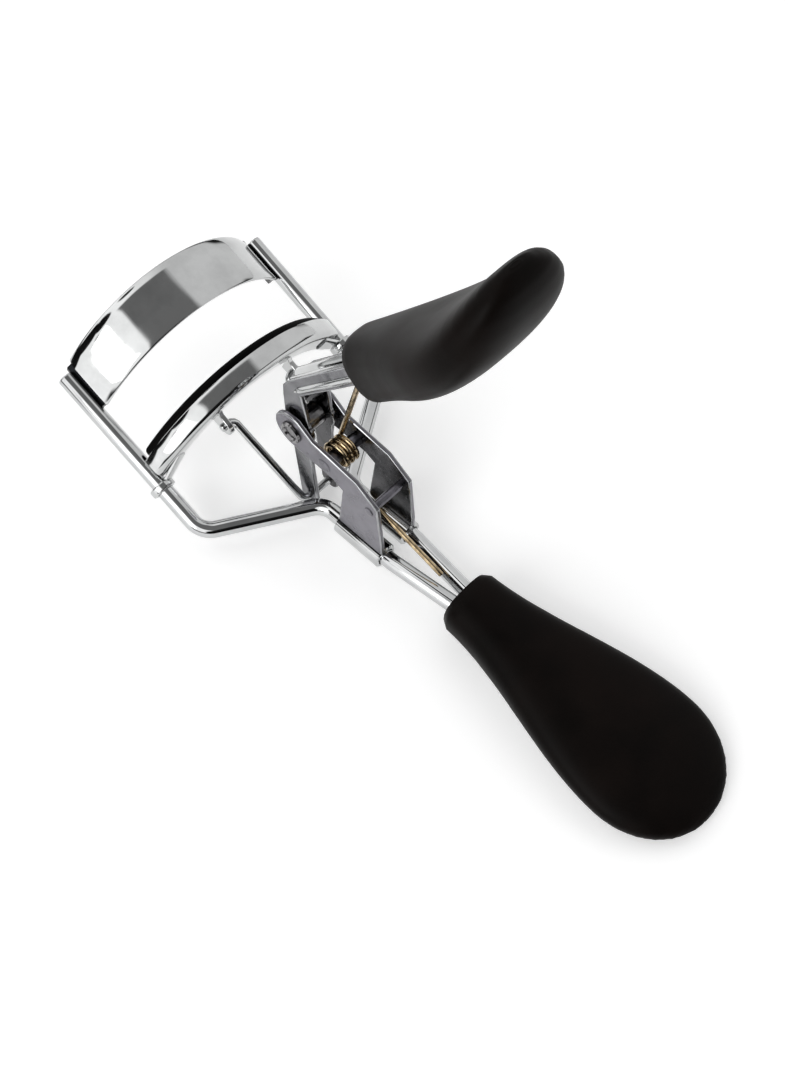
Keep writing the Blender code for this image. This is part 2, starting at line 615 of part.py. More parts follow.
def torsion_spring(parts, steel):
    """Coils round the spring pin, one leg up under the lever's web, one leg back onto the frame wires."""
    radius = PIN_DIA / 2 + SPRING_BORE_CLEARANCE + SPRING_WIRE_DIA / 2
    wire_r = SPRING_WIRE_DIA / 2
    centre = Vector(SPRING_AXIS)
    half = LEVER_STRAP_DEPTH / 2
    upper_tip = strap_point(LEVER_STRAP_LENGTH - 2.0, half - LEVER_SHEET - SIDE_CLEARANCE - wire_r)
    lower_tip = Vector((GRIP_MOUTH_Y + 4.0, WIRE_PLANE_Z + WIRE_R + SIDE_CLEARANCE + wire_r))

    def tangent_angle(tip, sense):
        away = tip - centre
        return math.atan2(away.y, away.x) - sense * math.acos(radius / away.length)

    first = tangent_angle(upper_tip, 1)
    last = tangent_angle(lower_tip, -1)
    sweep = (last - first) % (2 * math.pi) - 2 * math.pi * (SPRING_TURNS + 1)
    steps = 18 * (SPRING_TURNS + 1)
    width = SPRING_PITCH * abs(sweep) / (2 * math.pi)
    path = [(0.0, *upper_tip)]
    for k in range(steps + 1):
        turn = first + sweep * k / steps
        path.append((width / 2 - width * k / steps,
                     centre.x + radius * math.cos(turn), centre.y + radius * math.sin(turn)))
    path.append((0.0, *lower_tip))
    return wire("torsion_spring", path, wire_r, parts, steel)


def grip_axis(length, curl_deg, power, steps=400):
    """The grip's bent middle line: (v, w, lean) at equal steps along it."""
    line = [(0.0, 0.0, 0.0)]
    for i in range(steps):
        v, w, _ = line[-1]
        middle = math.radians(curl_deg) * ((i + 0.5) / steps) ** power
        lean = math.radians(curl_deg) * ((i + 1) / steps) ** power
        line.append((v + math.cos(middle) * length / steps, w + math.sin(middle) * length / steps, lean))
    return line


def grip_loft(length, curl_deg, power, half_width, widest, neck_width, neck_thickness, tip_thickness):
    """A paddle in its own frame: v along it from the mouth, w outwards, x across, as rings for a loft."""
    axis = grip_axis(length, curl_deg, power)
    rings = []
    stations = 26
    for i in range(stations + 1):
        t = min(math.sin(math.pi / 2 * i / stations), 0.9985)
        grown = min(1.0, t / widest)
        ease = grown * grown * (3 - 2 * grown)
        wide = neck_width + (half_width - neck_width) * ease
        thick = neck_thickness + (tip_thickness - neck_thickness) * t**GRIP_THINNING
        if t > widest:
            closing = (t - widest) / (1 - widest)
            wide *= math.sqrt(max(0.0, 1 - closing**2)) ** 0.95
            thick *= max(0.0, 1 - closing**3.2) ** 0.5
        lip = 1.0 - 0.10 * max(0.0, 1 - t / 0.02)
        rings.append(grip_ring(axis[round(t * (len(axis) - 1))], wide * lip, thick * lip))
    return rings


def grip_ring(middle, wide, thick):
    """One section of the paddle, square to its middle line."""
    v, centre, lean = middle
    ring = []
    for k in range(ROUND_STEPS):
        turn = 2 * math.pi * k / ROUND_STEPS
        c, s = math.cos(turn), math.sin(turn)
        x = wide * math.copysign(abs(c) ** (2 / GRIP_SQUARENESS), c)
        w = thick * math.copysign(abs(s) ** (2 / GRIP_SQUARENESS), s)
        ring.append(Vector((x, v - w * math.sin(lean), centre + w * math.cos(lean))))
    return ring


def grips(parts, cutters, rubber):
    """The two finger grips: the fixed one on the frame wires, the moving one on the lever's tang."""
    lower_rings = grip_loft(LOWER_GRIP_LENGTH, LOWER_GRIP_CURL_DEG, LOWER_GRIP_CURL_POWER, LOWER_GRIP_HALF_WIDTH,
                            LOWER_GRIP_WIDEST, LOWER_NECK_HALF_WIDTH, LOWER_NECK_HALF_THICKNESS,
                            LOWER_TIP_HALF_THICKNESS)
    rise = WIRE_PLANE_Z + GRIP_RISE
    lower_rings = [[Vector((p.x, GRIP_MOUTH_Y - p.y, rise - p.z)) for p in ring] for ring in lower_rings]
    lower = add_mesh_object("lower_grip", loft(lower_rings), parts, rubber)
    deep = GRIP_MOUTH_Y - GRIP_POCKET_DEPTH
    for side, label in ((-1, "left"), (1, "right")):
        x = side * SHANK_HALF_SPACING
        bore = add_cutter(f"lower_grip_{label}_bore",
                          cylinder((x, deep, WIRE_PLANE_Z), (x, GRIP_MOUTH_Y + 2, WIRE_PLANE_Z),
                                   WIRE_R + GRIP_CLEARANCE, 20), cutters)
        cut(lower, bore)
    lowest = min(p.z for ring in lower_rings for p in ring)
    land = add_cutter("lower_grip_land", box((0.0, GRIP_MOUTH_Y - LOWER_GRIP_LENGTH / 2, lowest - 5.0),
                                             (40.0, LOWER_GRIP_LENGTH * 2, 10.0 + 2 * GRIP_LAND_DEPTH)), cutters)
    cut(lower, land)

    mouth = strap_point(LEVER_STRAP_LENGTH, 0.0)
    upper_rings = []
    for ring in grip_loft(UPPER_GRIP_LENGTH, UPPER_GRIP_CURL_DEG, UPPER_GRIP_CURL_POWER, UPPER_GRIP_HALF_WIDTH,
                          UPPER_GRIP_WIDEST, UPPER_NECK_HALF_WIDTH, UPPER_NECK_HALF_THICKNESS,
                          UPPER_TIP_HALF_THICKNESS):
        placed = []
        for p in ring:
            at = mouth + STRAP_DIR * p.y + STRAP_OUT * p.z
            placed.append(Vector((p.x, at.x, at.y)))
        upper_rings.append(placed)
    upper = add_mesh_object("upper_grip", loft(upper_rings), parts, rubber)
    half = LEVER_STRAP_DEPTH / 2 + GRIP_CLEARANCE
    pocket_end = LEVER_STRAP_LENGTH + LEVER_TANG_LENGTH + GRIP_CLEARANCE
    corners = [strap_point(LEVER_STRAP_LENGTH - 2, half), strap_point(pocket_end, half),
               strap_point(pocket_end, -half), strap_point(LEVER_STRAP_LENGTH - 2, -half)]
    wide = LEVER_HALF_WIDTH + GRIP_CLEARANCE
    cut(upper, add_cutter("upper_grip_pocket", plate(corners, -wide, wide), cutters))
    return lower, upper


def add_empty(name, place, parent, collection):
    empty = bpy.data.objects.new(name, None)
    empty.location = Vector(place) * MM
    empty.empty_display_size = 0.004
    collection.objects.link(empty)
    attach(empty, parent)
    return empty


def attach(obj, parent):
    """Parents without moving: the child keeps its place in the part's frame."""
    if parent is None:
        return
    bpy.context.view_layer.update()
    obj.parent = parent
    obj.matrix_parent_inverse = parent.matrix_world.inverted()


def stand_on_floor(root, objects):
    """Puts the origin under the middle of the whole tool, at its underside."""
    bpy.context.view_layer.update()
    graph = bpy.context.evaluated_depsgraph_get()
    low, high = Vector((1e9,) * 3), Vector((-1e9,) * 3)
    for obj in objects:
        evaluated = obj.evaluated_get(graph)
        mesh = evaluated.to_mesh()
        for vertex in mesh.vertices:
            at = evaluated.matrix_world @ vertex.co
            low = Vector(map(min, low, at))
            high = Vector(map(max, high, at))
        evaluated.to_mesh_clear()
    root.location = (-(low.x + high.x) / 2, -(low.y + high.y) / 2, -low.z)


def main():
    clear_scene()
    parts = new_collection("eyelash_curler")
    cutters = new_collection("cutters")
    chrome = make_material("chromed_steel", (0.78, 0.78, 0.80), 0.08, 1.0)
    pressed = make_material("chromed_sheet", (0.70, 0.70, 0.72), 0.14, 1.0)
    bright = make_material("bright_steel_pins", (0.66, 0.66, 0.68), 0.22, 1.0)
    spring_steel = make_material("spring_steel", (0.42, 0.36, 0.28), 0.28, 1.0)
    silicone = make_material("black_silicone", (0.012, 0.012, 0.012), 0.45, 0.0)
    rubber = make_material("black_soft_touch", (0.018, 0.016, 0.015), 0.42, 0.0)

    wires = frame_wires(parts, chrome)
    ears = bracket_ears(parts, cutters, pressed)
    fixed = wires + ears + pins(parts, bright)
    fixed.append(upper_bow(parts, cutters, pressed))
    fixed.append(pivot_sleeve(parts, cutters, bright))
    fixed.append(torsion_spring(parts, spring_steel))
    lower, upper = grips(parts, cutters, rubber)
    fixed.append(lower)

    sliding = [lower_jaw(parts, cutters, pressed), pad(parts, silicone)]
    sliding += guide_eyes(parts, cutters, pressed)
    sliding += jaw_lugs(parts, cutters, pressed)
    swinging = [lever_channel(parts, cutters, pressed), upper]
    bail = link_bail(parts, chrome)

    root = add_empty("curler_frame", (0.0, 0.0, 0.0), None, parts)
    lever_axis = add_empty("lever_axis", (0.0, *PIVOT), root, parts)
    jaw_slide = add_empty("jaw_slide", rail_frame(0.0, JAW_LOW, 0.0), root, parts)
    link_axis = add_empty("link_axis", rail_frame(0.0, LINK_AXIS_S, LINK_AXIS_N), jaw_slide, parts)
    for group, parent in ((fixed, root), (sliding, jaw_slide), (swinging, lever_axis), ([bail], link_axis)):
        for obj in group:
            attach(obj, parent)
    for obj in cutters.objects:
        attach(obj, root)
    stand_on_floor(root, fixed + sliding + swinging + [bail])


main()
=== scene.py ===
"""Eyelash curler: chromed wire frame, sprung lever, cushioned jaw and soft-touch finger grips.

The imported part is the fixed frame. Every visible piece is built here at the part's own sizes, in
millimetres from the section datum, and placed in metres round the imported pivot.
"""

import logging
import math
from dataclasses import dataclass
from enum import Enum
from typing import Callable, Sequence

import bmesh
import bpy
from mathutils import Matrix, Vector


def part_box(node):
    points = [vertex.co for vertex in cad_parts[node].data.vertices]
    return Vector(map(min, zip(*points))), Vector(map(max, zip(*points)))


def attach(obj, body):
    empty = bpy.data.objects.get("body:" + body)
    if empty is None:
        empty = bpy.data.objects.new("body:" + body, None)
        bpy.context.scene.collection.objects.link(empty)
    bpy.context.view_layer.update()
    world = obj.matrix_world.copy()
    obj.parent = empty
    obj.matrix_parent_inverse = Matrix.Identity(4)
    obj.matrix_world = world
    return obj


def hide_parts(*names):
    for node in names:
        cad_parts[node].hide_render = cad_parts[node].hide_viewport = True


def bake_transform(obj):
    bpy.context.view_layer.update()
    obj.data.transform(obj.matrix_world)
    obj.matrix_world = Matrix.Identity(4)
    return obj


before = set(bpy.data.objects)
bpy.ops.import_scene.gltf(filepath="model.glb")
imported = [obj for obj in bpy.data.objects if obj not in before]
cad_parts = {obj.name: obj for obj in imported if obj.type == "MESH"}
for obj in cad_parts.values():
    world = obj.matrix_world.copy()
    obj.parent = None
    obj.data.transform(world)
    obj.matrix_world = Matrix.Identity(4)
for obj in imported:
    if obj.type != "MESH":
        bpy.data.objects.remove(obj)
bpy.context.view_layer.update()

MM = 0.001
LOG = logging.getLogger("eyelash_curler")

Section = tuple[float, float]
Ring = list[Vector]


class Body(Enum):
    """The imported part's moving bodies."""

    FRAME = "frame"
    LEVER = "lever"
    JAW = "jaw"
    LINK = "link"


class Side(Enum):
    """Left or right of the middle plane."""

    LEFT = -1
    RIGHT = 1

    @property
    def word(self) -> str:
        """The side's name as it stands in a piece's name."""
        return self.name.lower()


# ---------------------------------------------------------------- colour, nodes and finishes


def linear(hex_colour: str) -> tuple[float, float, float, float]:
    """Turns an sRGB hex colour into linear RGBA.

    Args:
        hex_colour: six hex digits after a hash.

    Returns:
        Red, green, blue and an alpha of one.
    """
    channels = [int(hex_colour[i:i + 2], 16) / 255 for i in (1, 3, 5)]
    turned = [c / 12.92 if c <= 0.04045 else ((c + 0.055) / 1.055) ** 2.4 for c in channels]
    return (turned[0], turned[1], turned[2], 1.0)


def add_node(tree: bpy.types.NodeTree, kind: str, settings: dict | None = None,
             inputs: dict | None = None) -> bpy.types.Node:
    """Adds a node, sets its properties and fills its inputs.

    Args:
        tree: the node tree that takes it.
        kind: the node's type name, without its ShaderNode prefix.
        settings: property names and values.
        inputs: input names or numbers, each with a plain value or an output socket to link.

    Returns:
        The new node.
    """
    node = tree.nodes.new("ShaderNode" + kind)
    for name, value in (settings or {}).items():
        setattr(node, name, value)
    for name, value in (inputs or {}).items():
        if isinstance(value, bpy.types.NodeSocket):
            tree.links.new(value, node.inputs[name])
        else:
            node.inputs[name].default_value = value
    return node


def millimetres(tree: bpy.types.NodeTree,
                stretch: Sequence[float] = (1.0, 1.0, 1.0)) -> bpy.types.NodeSocket:
    """Pattern coordinates that count millimetres on the piece, so that a scale is 1 / pattern size.

    Args:
        tree: the material's node tree.
        stretch: how many times denser the pattern lies along X, Y and Z.

    Returns:
        The vector output to link.
    """
    place = add_node(tree, "TexCoord")
    scale = tuple(s / MM for s in stretch)
    mapping = add_node(tree, "Mapping", {"vector_type": "POINT"},
                       {"Vector": place.outputs["Object"], "Scale": scale})
    return mapping.outputs["Vector"]


def ramp(tree: bpy.types.NodeTree, value: bpy.types.NodeSocket, at: Section,
         levels: Section = (0.0, 1.0), easing: str = "SMOOTHSTEP") -> bpy.types.NodeSocket:
    """Takes a value from one level to another.

    Args:
        tree: the node tree.
        value: the socket that drives it.
        at: where the change starts and where it ends.
        levels: what comes out before it and after it.
        easing: the node's interpolation type.

    Returns:
        The output socket.
    """
    node = add_node(tree, "MapRange", {"interpolation_type": easing}, {
        "Value": value, "From Min": at[0], "From Max": at[1], "To Min": levels[0], "To Max": levels[1]})
    return node.outputs["Result"]


def calculate(tree: bpy.types.NodeTree, operation: str,
              *values: bpy.types.NodeSocket | float) -> bpy.types.NodeSocket:
    """Does one sum on sockets or plain numbers. Returns the output socket."""
    return add_node(tree, "Math", {"operation": operation}, dict(enumerate(values))).outputs["Value"]


def mix(tree: bpy.types.NodeTree, factor: bpy.types.NodeSocket, base: bpy.types.NodeSocket,
        other: float) -> bpy.types.NodeSocket:
    """Lays a plain level over another by a factor. Returns the output socket."""
    return add_node(tree, "Mix", {"data_type": "FLOAT"},
                    {"Factor": factor, "A": base, "B": other}).outputs["Result"]


def new_material(name: str) -> tuple[bpy.types.Material, bpy.types.NodeTree, bpy.types.Node]:
    """Starts a node material. Returns it, its node tree and its Principled shader."""
    material = bpy.data.materials.new(name)
    material.use_nodes = True
    tree = material.node_tree
    return material, tree, tree.nodes["Principled BSDF"]


def tinted(tree: bpy.types.NodeTree, pattern: bpy.types.NodeSocket, stops: Section,
           colours: tuple[str, str]) -> bpy.types.NodeSocket:
    """Colours a pattern.

    Args:
        tree: the material's node tree.
        pattern: the pattern's output.
        stops: the pattern's values that take the first and the second colour.
        colours: the two colours, as sRGB hex.

    Returns:
        The colour output.
    """
    tint = add_node(tree, "ValToRGB", None, {"Fac": pattern})
    for element, stop, colour in zip(tint.color_ramp.elements, stops, colours):
        element.position, element.color = stop, linear(colour)
    return tint.outputs["Color"]


@dataclass(frozen=True)
class PlatedMetal:
    """Bright metal: a mirror skin with hand smudges, and the drawing or rolling lines left under it."""

    name: str
    slot: str
    colour: str
    shade: str
    roughness: float
    smudge: float
    smudge_mm: float
    line_mm: float
    line_depth_mm: float
    wave_mm: float = 6.0
    wave_depth_mm: float = 0.0
    line_stretch: tuple[float, float, float] = (1.0, 0.06, 0.06)

    def build(self) -> bpy.types.Material:
        """Makes the material. Returns it."""
        material, tree, shader = new_material(self.name)
        shader.inputs["Metallic"].default_value = 1.0
        place = millimetres(tree)
        smudges = add_node(tree, "TexNoise", None, {"Vector": place, "Scale": 1 / self.smudge_mm,
                                                    "Detail": 4.0, "Roughness": 0.55}).outputs["Fac"]
        colour = tinted(tree, smudges, (0.32, 0.62), (self.shade, self.colour))
        gloss = ramp(tree, smudges, (0.35, 0.7), (self.roughness, self.roughness + self.smudge), "LINEAR")
        grain = millimetres(tree, self.line_stretch)
        lines = add_node(tree, "TexNoise", None, {"Vector": grain, "Scale": 1 / self.line_mm, "Detail": 2.0})
        fine = add_node(tree, "Bump", None, {"Strength": 0.35, "Distance": self.line_depth_mm * MM,
                                             "Height": lines.outputs["Fac"]})
        wave = add_node(tree, "TexNoise", None, {"Vector": place, "Scale": 1 / self.wave_mm, "Detail": 0.0})
        broad = add_node(tree, "Bump", None, {
            "Strength": 1.0, "Distance": self.wave_depth_mm * MM, "Height": wave.outputs["Fac"],
            "Normal": fine.outputs["Normal"]})
        tree.links.new(colour, shader.inputs["Base Color"])
        tree.links.new(gloss, shader.inputs["Roughness"])
        tree.links.new(broad.outputs["Normal"], shader.inputs["Normal"])
        return material


@dataclass(frozen=True)
class Elastomer:
    """Dark rubbery skin: a fine even grain, faint mottling and a soft wide highlight."""

    name: str
    slot: str
    colour: str
    shade: str
    roughness: float
    ior: float
    grain_mm: float
    grain_depth_mm: float
    mottle_mm: float
    gloss: float

    def build(self) -> bpy.types.Material:
        """Makes the material. Returns it."""
        material, tree, shader = new_material(self.name)
        shader.inputs["IOR"].default_value = self.ior
        shader.inputs["Specular IOR Level"].default_value = self.gloss
        place = millimetres(tree)
        mottle = add_node(tree, "TexNoise", None, {"Vector": place, "Scale": 1 / self.mottle_mm,
                                                   "Detail": 5.0}).outputs["Fac"]
        colour = tinted(tree, mottle, (0.35, 0.68), (self.shade, self.colour))
        gloss = ramp(tree, mottle, (0.3, 0.7), (self.roughness - 0.04, self.roughness + 0.06), "LINEAR")
        cells = add_node(tree, "TexVoronoi", {"feature": "SMOOTH_F1"},
                         {"Vector": place, "Scale": 1 / self.grain_mm, "Smoothness": 0.6})
        bump = add_node(tree, "Bump", None, {"Strength": 0.5, "Distance": self.grain_depth_mm * MM,
                                             "Height": cells.outputs["Distance"]})
        tree.links.new(colour, shader.inputs["Base Color"])
        tree.links.new(gloss, shader.inputs["Roughness"])
        tree.links.new(bump.outputs["Normal"], shader.inputs["Normal"])
        return material


# Decorative chrome over polished nickel on drawn steel wire: a near-neutral mirror, drawing lines unseen.
CHROMED_WIRE = PlatedMetal("chromed_steel_wire", "chromed_wire", "#c8c9c9", "#babbbc",
                           roughness=0.03, smudge=0.05, smudge_mm=5.0, line_mm=0.35, line_depth_mm=0.002)
# The same plate on stamped sheet: a shade duller, with the rolling lines and slight waves of thin sheet.
CHROMED_SHEET = PlatedMetal("chromed_steel_sheet", "chromed_sheet", "#c6c7c7", "#b9baba",
                            roughness=0.045, smudge=0.06, smudge_mm=4.0, line_mm=0.30, line_depth_mm=0.003,
                            wave_mm=4.5, wave_depth_mm=0.085)
# The same plate, lighter than the darker copies on the pressed ears and cheeks, laid on their rounded edges
# as a painted highlight: greyer than the sheet, with a satin haze.
EDGE_HIGHLIGHT_STEEL = PlatedMetal("painted_edge_highlight_chrome", "chromed_sheet", "#a9aaac", "#8c8d90",
                            roughness=0.10, smudge=0.12, smudge_mm=2.5, line_mm=0.25, line_depth_mm=0.004)
# The bracket's broad faces keep the satin of the rolled strip; their darker violet-grey colour is painted
# shade, where the frame wires shade what the faces reflect.
SATIN_SHADED_STEEL = PlatedMetal("satin_chromed_strip_painted_shade", "chromed_sheet", "#85838a", "#737178",
                          roughness=0.26, smudge=0.12, smudge_mm=2.2, line_mm=0.22, line_depth_mm=0.004)
# The lever's cheeks are the same strip, polished; their darker colour is a painted dark reflection.
SHADED_LEVER_STEEL = PlatedMetal("polished_chromed_strip_painted_dark", "chromed_sheet", "#7d7d80", "#5f5f63",
                          roughness=0.12, smudge=0.14, smudge_mm=1.8, line_mm=0.22, line_depth_mm=0.006,
                          wave_mm=4.0, wave_depth_mm=0.06)
# A dark copy of the plate that paints shade on the faces turned towards the middle plane, between the ears
# and between the lever's cheeks.
INNER_SHADE_STEEL = PlatedMetal("painted_inner_shade", "chromed_sheet", "#4a494c", "#232325",
                           roughness=0.16, smudge=0.14, smudge_mm=1.4, line_mm=0.22, line_depth_mm=0.006)
# Nickel-plated rivets and pins, tumbled: small soft highlights.
BRIGHT_STEEL = PlatedMetal("nickel_plated_steel", "bright_steel", "#8d8c8d", "#6f6e70",
                           roughness=0.12, smudge=0.10, smudge_mm=1.5, line_mm=0.2, line_depth_mm=0.004)
# Pin and rivet ends dressed flush with the bracket's strip.
FLUSH_STEEL = PlatedMetal("flush_dressed_steel", "bright_steel", "#7d7b82", "#68676d",
                          roughness=0.24, smudge=0.12, smudge_mm=1.5, line_mm=0.2, line_depth_mm=0.004)
# Oil-tempered music wire with its straw-coloured temper film.
SPRING_STEEL = PlatedMetal("tempered_spring_steel", "spring_steel", "#cdb894", "#87755a",
                           roughness=0.14, smudge=0.14, smudge_mm=0.9, line_mm=0.2, line_depth_mm=0.004)
# A near-black strip that paints the shade in the crease where the bow meets a rail.
CREASE_SHADE = PlatedMetal("painted_crease_shade", "chromed_sheet", "#17181a", "#0b0b0c",
                    roughness=0.22, smudge=0.2, smudge_mm=1.0, line_mm=0.3, line_depth_mm=0.01)
# Compression-moulded silicone: matt, with a very fine mould grain. Grain is drawn at 0.25 mm to show.
SILICONE = Elastomer("black_silicone_rubber", "silicone", "#050505", "#020202",
                     roughness=0.5, ior=1.41, grain_mm=0.25, grain_depth_mm=0.006, mottle_mm=6.0,
                     gloss=0.05)
# Overmoulded thermoplastic elastomer: warm black, silky, with a soft wide highlight. Grain as above.
SOFT_TOUCH = Elastomer("black_thermoplastic_elastomer", "soft_touch_grip", "#120d0b", "#090706",
                       roughness=0.44, ior=1.5, grain_mm=0.28, grain_depth_mm=0.006, mottle_mm=9.0,
                       gloss=0.05)


class Finishes:
    """Builds each finish once and hands out its material."""

    def __init__(self) -> None:
        """Starts with nothing built."""
        self.made: dict[str, bpy.types.Material] = {}

    def of(self, finish: PlatedMetal | Elastomer) -> bpy.types.Material:
        """Returns the finish's material, built on first use."""
        if finish.name not in self.made:
            self.made[finish.name] = finish.build()
        return self.made[finish.name]


FINISHES = Finishes()


# ---------------------------------------------------------------- mesh making, in millimetres


# Lever pivot from the section datum, in millimetres (y, z).
PIVOT: Section = (17.6, 17.3)
# Radius given to a turned piece's closed end, so that its last ring keeps an area.
CLOSED_RADIUS = 1e-4
# How far a sheet's rounded edge reaches past its line, as a share of half the sheet.
EDGE_REACH = 0.7
# Steps in a broken edge, and the least turn of an edge that is broken.
BROKEN_EDGE_STEPS = 3
BROKEN_EDGE_DEG = 50.0
# Stations round a wire's eased end.
DOME_ANGLES = (0.0, math.pi / 6, math.pi / 3, math.pi / 2)


def pivot_datum() -> Vector:
    """The section datum in the part's frame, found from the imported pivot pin. Returns it in metres."""
    low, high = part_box("pivot_pin")
    middle = (low + high) / 2
    return middle - Vector((middle.x, PIVOT[0] * MM, PIVOT[1] * MM))


DATUM = pivot_datum()
# The table's height from the datum, in millimetres.
LAND_Z = -DATUM.z / MM


def finish_piece(name: str, bm: bmesh.types.BMesh, finish: PlatedMetal | Elastomer, body: Body | None,
                 replaced: Sequence[str] = (), sharp_deg: float = 40.0) -> bpy.types.Object:
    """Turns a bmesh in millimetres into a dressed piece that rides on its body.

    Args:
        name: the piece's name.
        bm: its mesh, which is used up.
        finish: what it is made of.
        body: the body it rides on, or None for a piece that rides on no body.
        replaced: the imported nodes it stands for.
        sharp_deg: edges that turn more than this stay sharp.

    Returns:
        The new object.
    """
    bmesh.ops.transform(bm, matrix=Matrix.Translation(DATUM) @ Matrix.Scale(MM, 4), verts=bm.verts)
    bmesh.ops.recalc_face_normals(bm, faces=bm.faces)
    mesh = bpy.data.meshes.new(name)
    bm.to_mesh(mesh)
    bm.free()
    mesh.shade_smooth()
    mesh.set_sharp_from_angle(angle=math.radians(sharp_deg))
    mesh.materials.append(FINISHES.of(finish))
    piece = bpy.data.objects.new(name, mesh)
    bpy.context.scene.collection.objects.link(piece)
    if replaced:
        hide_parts(*replaced)
    if body:
        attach(piece, body.value)
    LOG.info("%s: %d faces, %s, on %s", name, len(mesh.polygons), finish.name,
             body.value if body else "two bodies")
    return piece


def round_edges(piece: bpy.types.Object, width_mm: float, edge_highlight_finish: PlatedMetal | None = None) -> None:
    """Breaks a piece's sharp edges, as tumbling does.

    Args:
        piece: the piece.
        width_mm: how far the rounding reaches.
        edge_highlight_finish: a brighter finish for the rounding, a painted highlight where the broken edges
            catch the light.
    """
    bevel = piece.modifiers.new("broken_edges", "BEVEL")
    bevel.width = width_mm * MM
    bevel.segments = BROKEN_EDGE_STEPS
    bevel.limit_method = "ANGLE"
    bevel.angle_limit = math.radians(BROKEN_EDGE_DEG)
    bevel.harden_normals = True
    if edge_highlight_finish:
        piece.data.materials.append(FINISHES.of(edge_highlight_finish))
        bevel.material = len(piece.data.materials) - 1


def paint_inner_shade(piece: bpy.types.Object, side: Side, beyond_mm: float) -> None:
    """Paints shade on the faces that look towards the middle plane, with a dark copy of the plate.

    Args:
        piece: a plate that stands on one side of the middle plane.
        side: which side it stands on.
        beyond_mm: faces nearer the middle plane than this are turned.
    """
    piece.data.materials.append(FINISHES.of(INNER_SHADE_STEEL))
    last = len(piece.data.materials) - 1
    for face in piece.data.polygons:
        inward = face.normal.x * side.value < -0.7
        if inward and abs(face.center.x) < beyond_mm * MM:
            face.material_index = last


def loft(rings: Sequence[Ring], closed: bool = False) -> bmesh.types.BMesh:
    """Joins rings of equally many points.

    Args:
        rings: the rings, in order.
        closed: whether the last ring joins the first; otherwise both ends are filled.

    Returns:
        The mesh.
    """
    bm = bmesh.new()
    loops = [[bm.verts.new(point) for point in ring] for ring in rings]
    pairs = list(zip(loops, loops[1:] + ([loops[0]] if closed else [])))
    for low, high in pairs:
        count = len(low)
        for i in range(count):
            bm.faces.new((low[i], low[(i + 1) % count], high[(i + 1) % count], high[i]))
    if not closed:
        bm.faces.new(loops[0][::-1])
        bm.faces.new(loops[-1])
    return bm


def circle(centre: Vector, one: Vector, other: Vector, radius: float, sides: int) -> Ring:
    """Points round a circle that lies along two unit directions. Returns them in order."""
    turns = [math.tau * k / sides for k in range(sides)]
    return [centre + (one * math.cos(t) + other * math.sin(t)) * radius for t in turns]


def squarish(turn: float, power_one: float, power_other: float) -> Section:
    """A point round a unit circle swollen towards a square; a lower power is squarer. Returns it."""
    c, s = math.cos(turn), math.sin(turn)
    return math.copysign(abs(c) ** power_one, c), math.copysign(abs(s) ** power_other, s)


def rounded_path(points: Sequence[Vector], radii: Sequence[float], steps: int = 14) -> list[Vector]:
    """Replaces each inner corner of a polyline by an arc.

    Args:
        points: the corners.
        radii: the bend radius at each inner corner.
        steps: steps in each arc.

    Returns:
        The points of the bent path.
    """
    corners = [Vector(p) for p in points]
    path = [corners[0]]
    for before, corner, after, radius in zip(corners, corners[1:], corners[2:], radii):
        back = (before - corner).normalized()
        ahead = (after - corner).normalized()
        half = back.angle(ahead) / 2
        reach = radius / math.tan(half)
        centre = corner + (back + ahead).normalized() * radius / math.sin(half)
        start, end = corner + back * reach - centre, corner + ahead * reach - centre
        for i in range(steps + 1):
            path.append(centre + start.slerp(end, i / steps).normalized() * radius)
    path.append(corners[-1])
    return path


def tube(path: Sequence[Vector], radius: float | Callable[[float], float], sides: int = 28,
         dome: float = 0.25) -> bmesh.types.BMesh:
    """Sweeps a round section along a path without twist, with eased ends.

    Args:
        path: the centre line.
        radius: the radius, or a function of the distance along the path.
        sides: points round the section.
        dome: how far each end is rounded over.

    Returns:
        The mesh.
    """
    path = [Vector(p) for p in path]
    lengths = [0.0]
    for a, b in zip(path, path[1:]):
        lengths.append(lengths[-1] + (b - a).length)
    size = radius if callable(radius) else (lambda _distance: radius)
    tangent = (path[1] - path[0]).normalized()
    across = tangent.orthogonal().normalized()
    last = len(path) - 1
    rings: list[Ring] = []
    for i, place in enumerate(path):
        along = (path[min(last, i + 1)] - path[max(0, i - 1)]).normalized()
        across = (across - along * across.dot(along)).normalized()
        other = along.cross(across)
        r = size(lengths[i])
        if 0 < i < last:
            rings.append(circle(place, across, other, r, sides))
            continue
        inward = along * dome * (1 if i == 0 else -1)
        end = [circle(place + inward * (1 - math.cos(a)), across, other, r - dome * (1 - math.sin(a)), sides)
               for a in DOME_ANGLES]
        rings += end if i == 0 else end[::-1]
    return loft(rings)


def plate(outline: Sequence[Section], x_low: float, x_high: float) -> bmesh.types.BMesh:
    """A flat sheet parallel to the middle plane.

    Args:
        outline: (y, z) points round it.
        x_low: one face.
        x_high: the other face.

    Returns:
        The mesh.
    """
    bm = bmesh.new()
    face = bm.faces.new([bm.verts.new((x_low, y, z)) for y, z in outline])
    grown = bmesh.ops.extrude_face_region(bm, geom=[face])
    moved = [item for item in grown["geom"] if isinstance(item, bmesh.types.BMVert)]
    bmesh.ops.translate(bm, vec=(x_high - x_low, 0.0, 0.0), verts=moved)
    return bm


def turned(centre: Vector, axis: Vector, profile: Sequence[Section],
           sides: int = 36) -> bmesh.types.BMesh:
    """A turned piece.

    Args:
        centre: a point on its axis.
        axis: the axis direction.
        profile: (distance along the axis, radius) points, end to end; a radius of zero closes an end.
        sides: points round it.

    Returns:
        The mesh.
    """
    axis = axis.normalized()
    side = axis.orthogonal().normalized()
    other = axis.cross(side)
    return loft([circle(centre + axis * reach, side, other, max(radius, CLOSED_RADIUS), sides)
                 for reach, radius in profile])


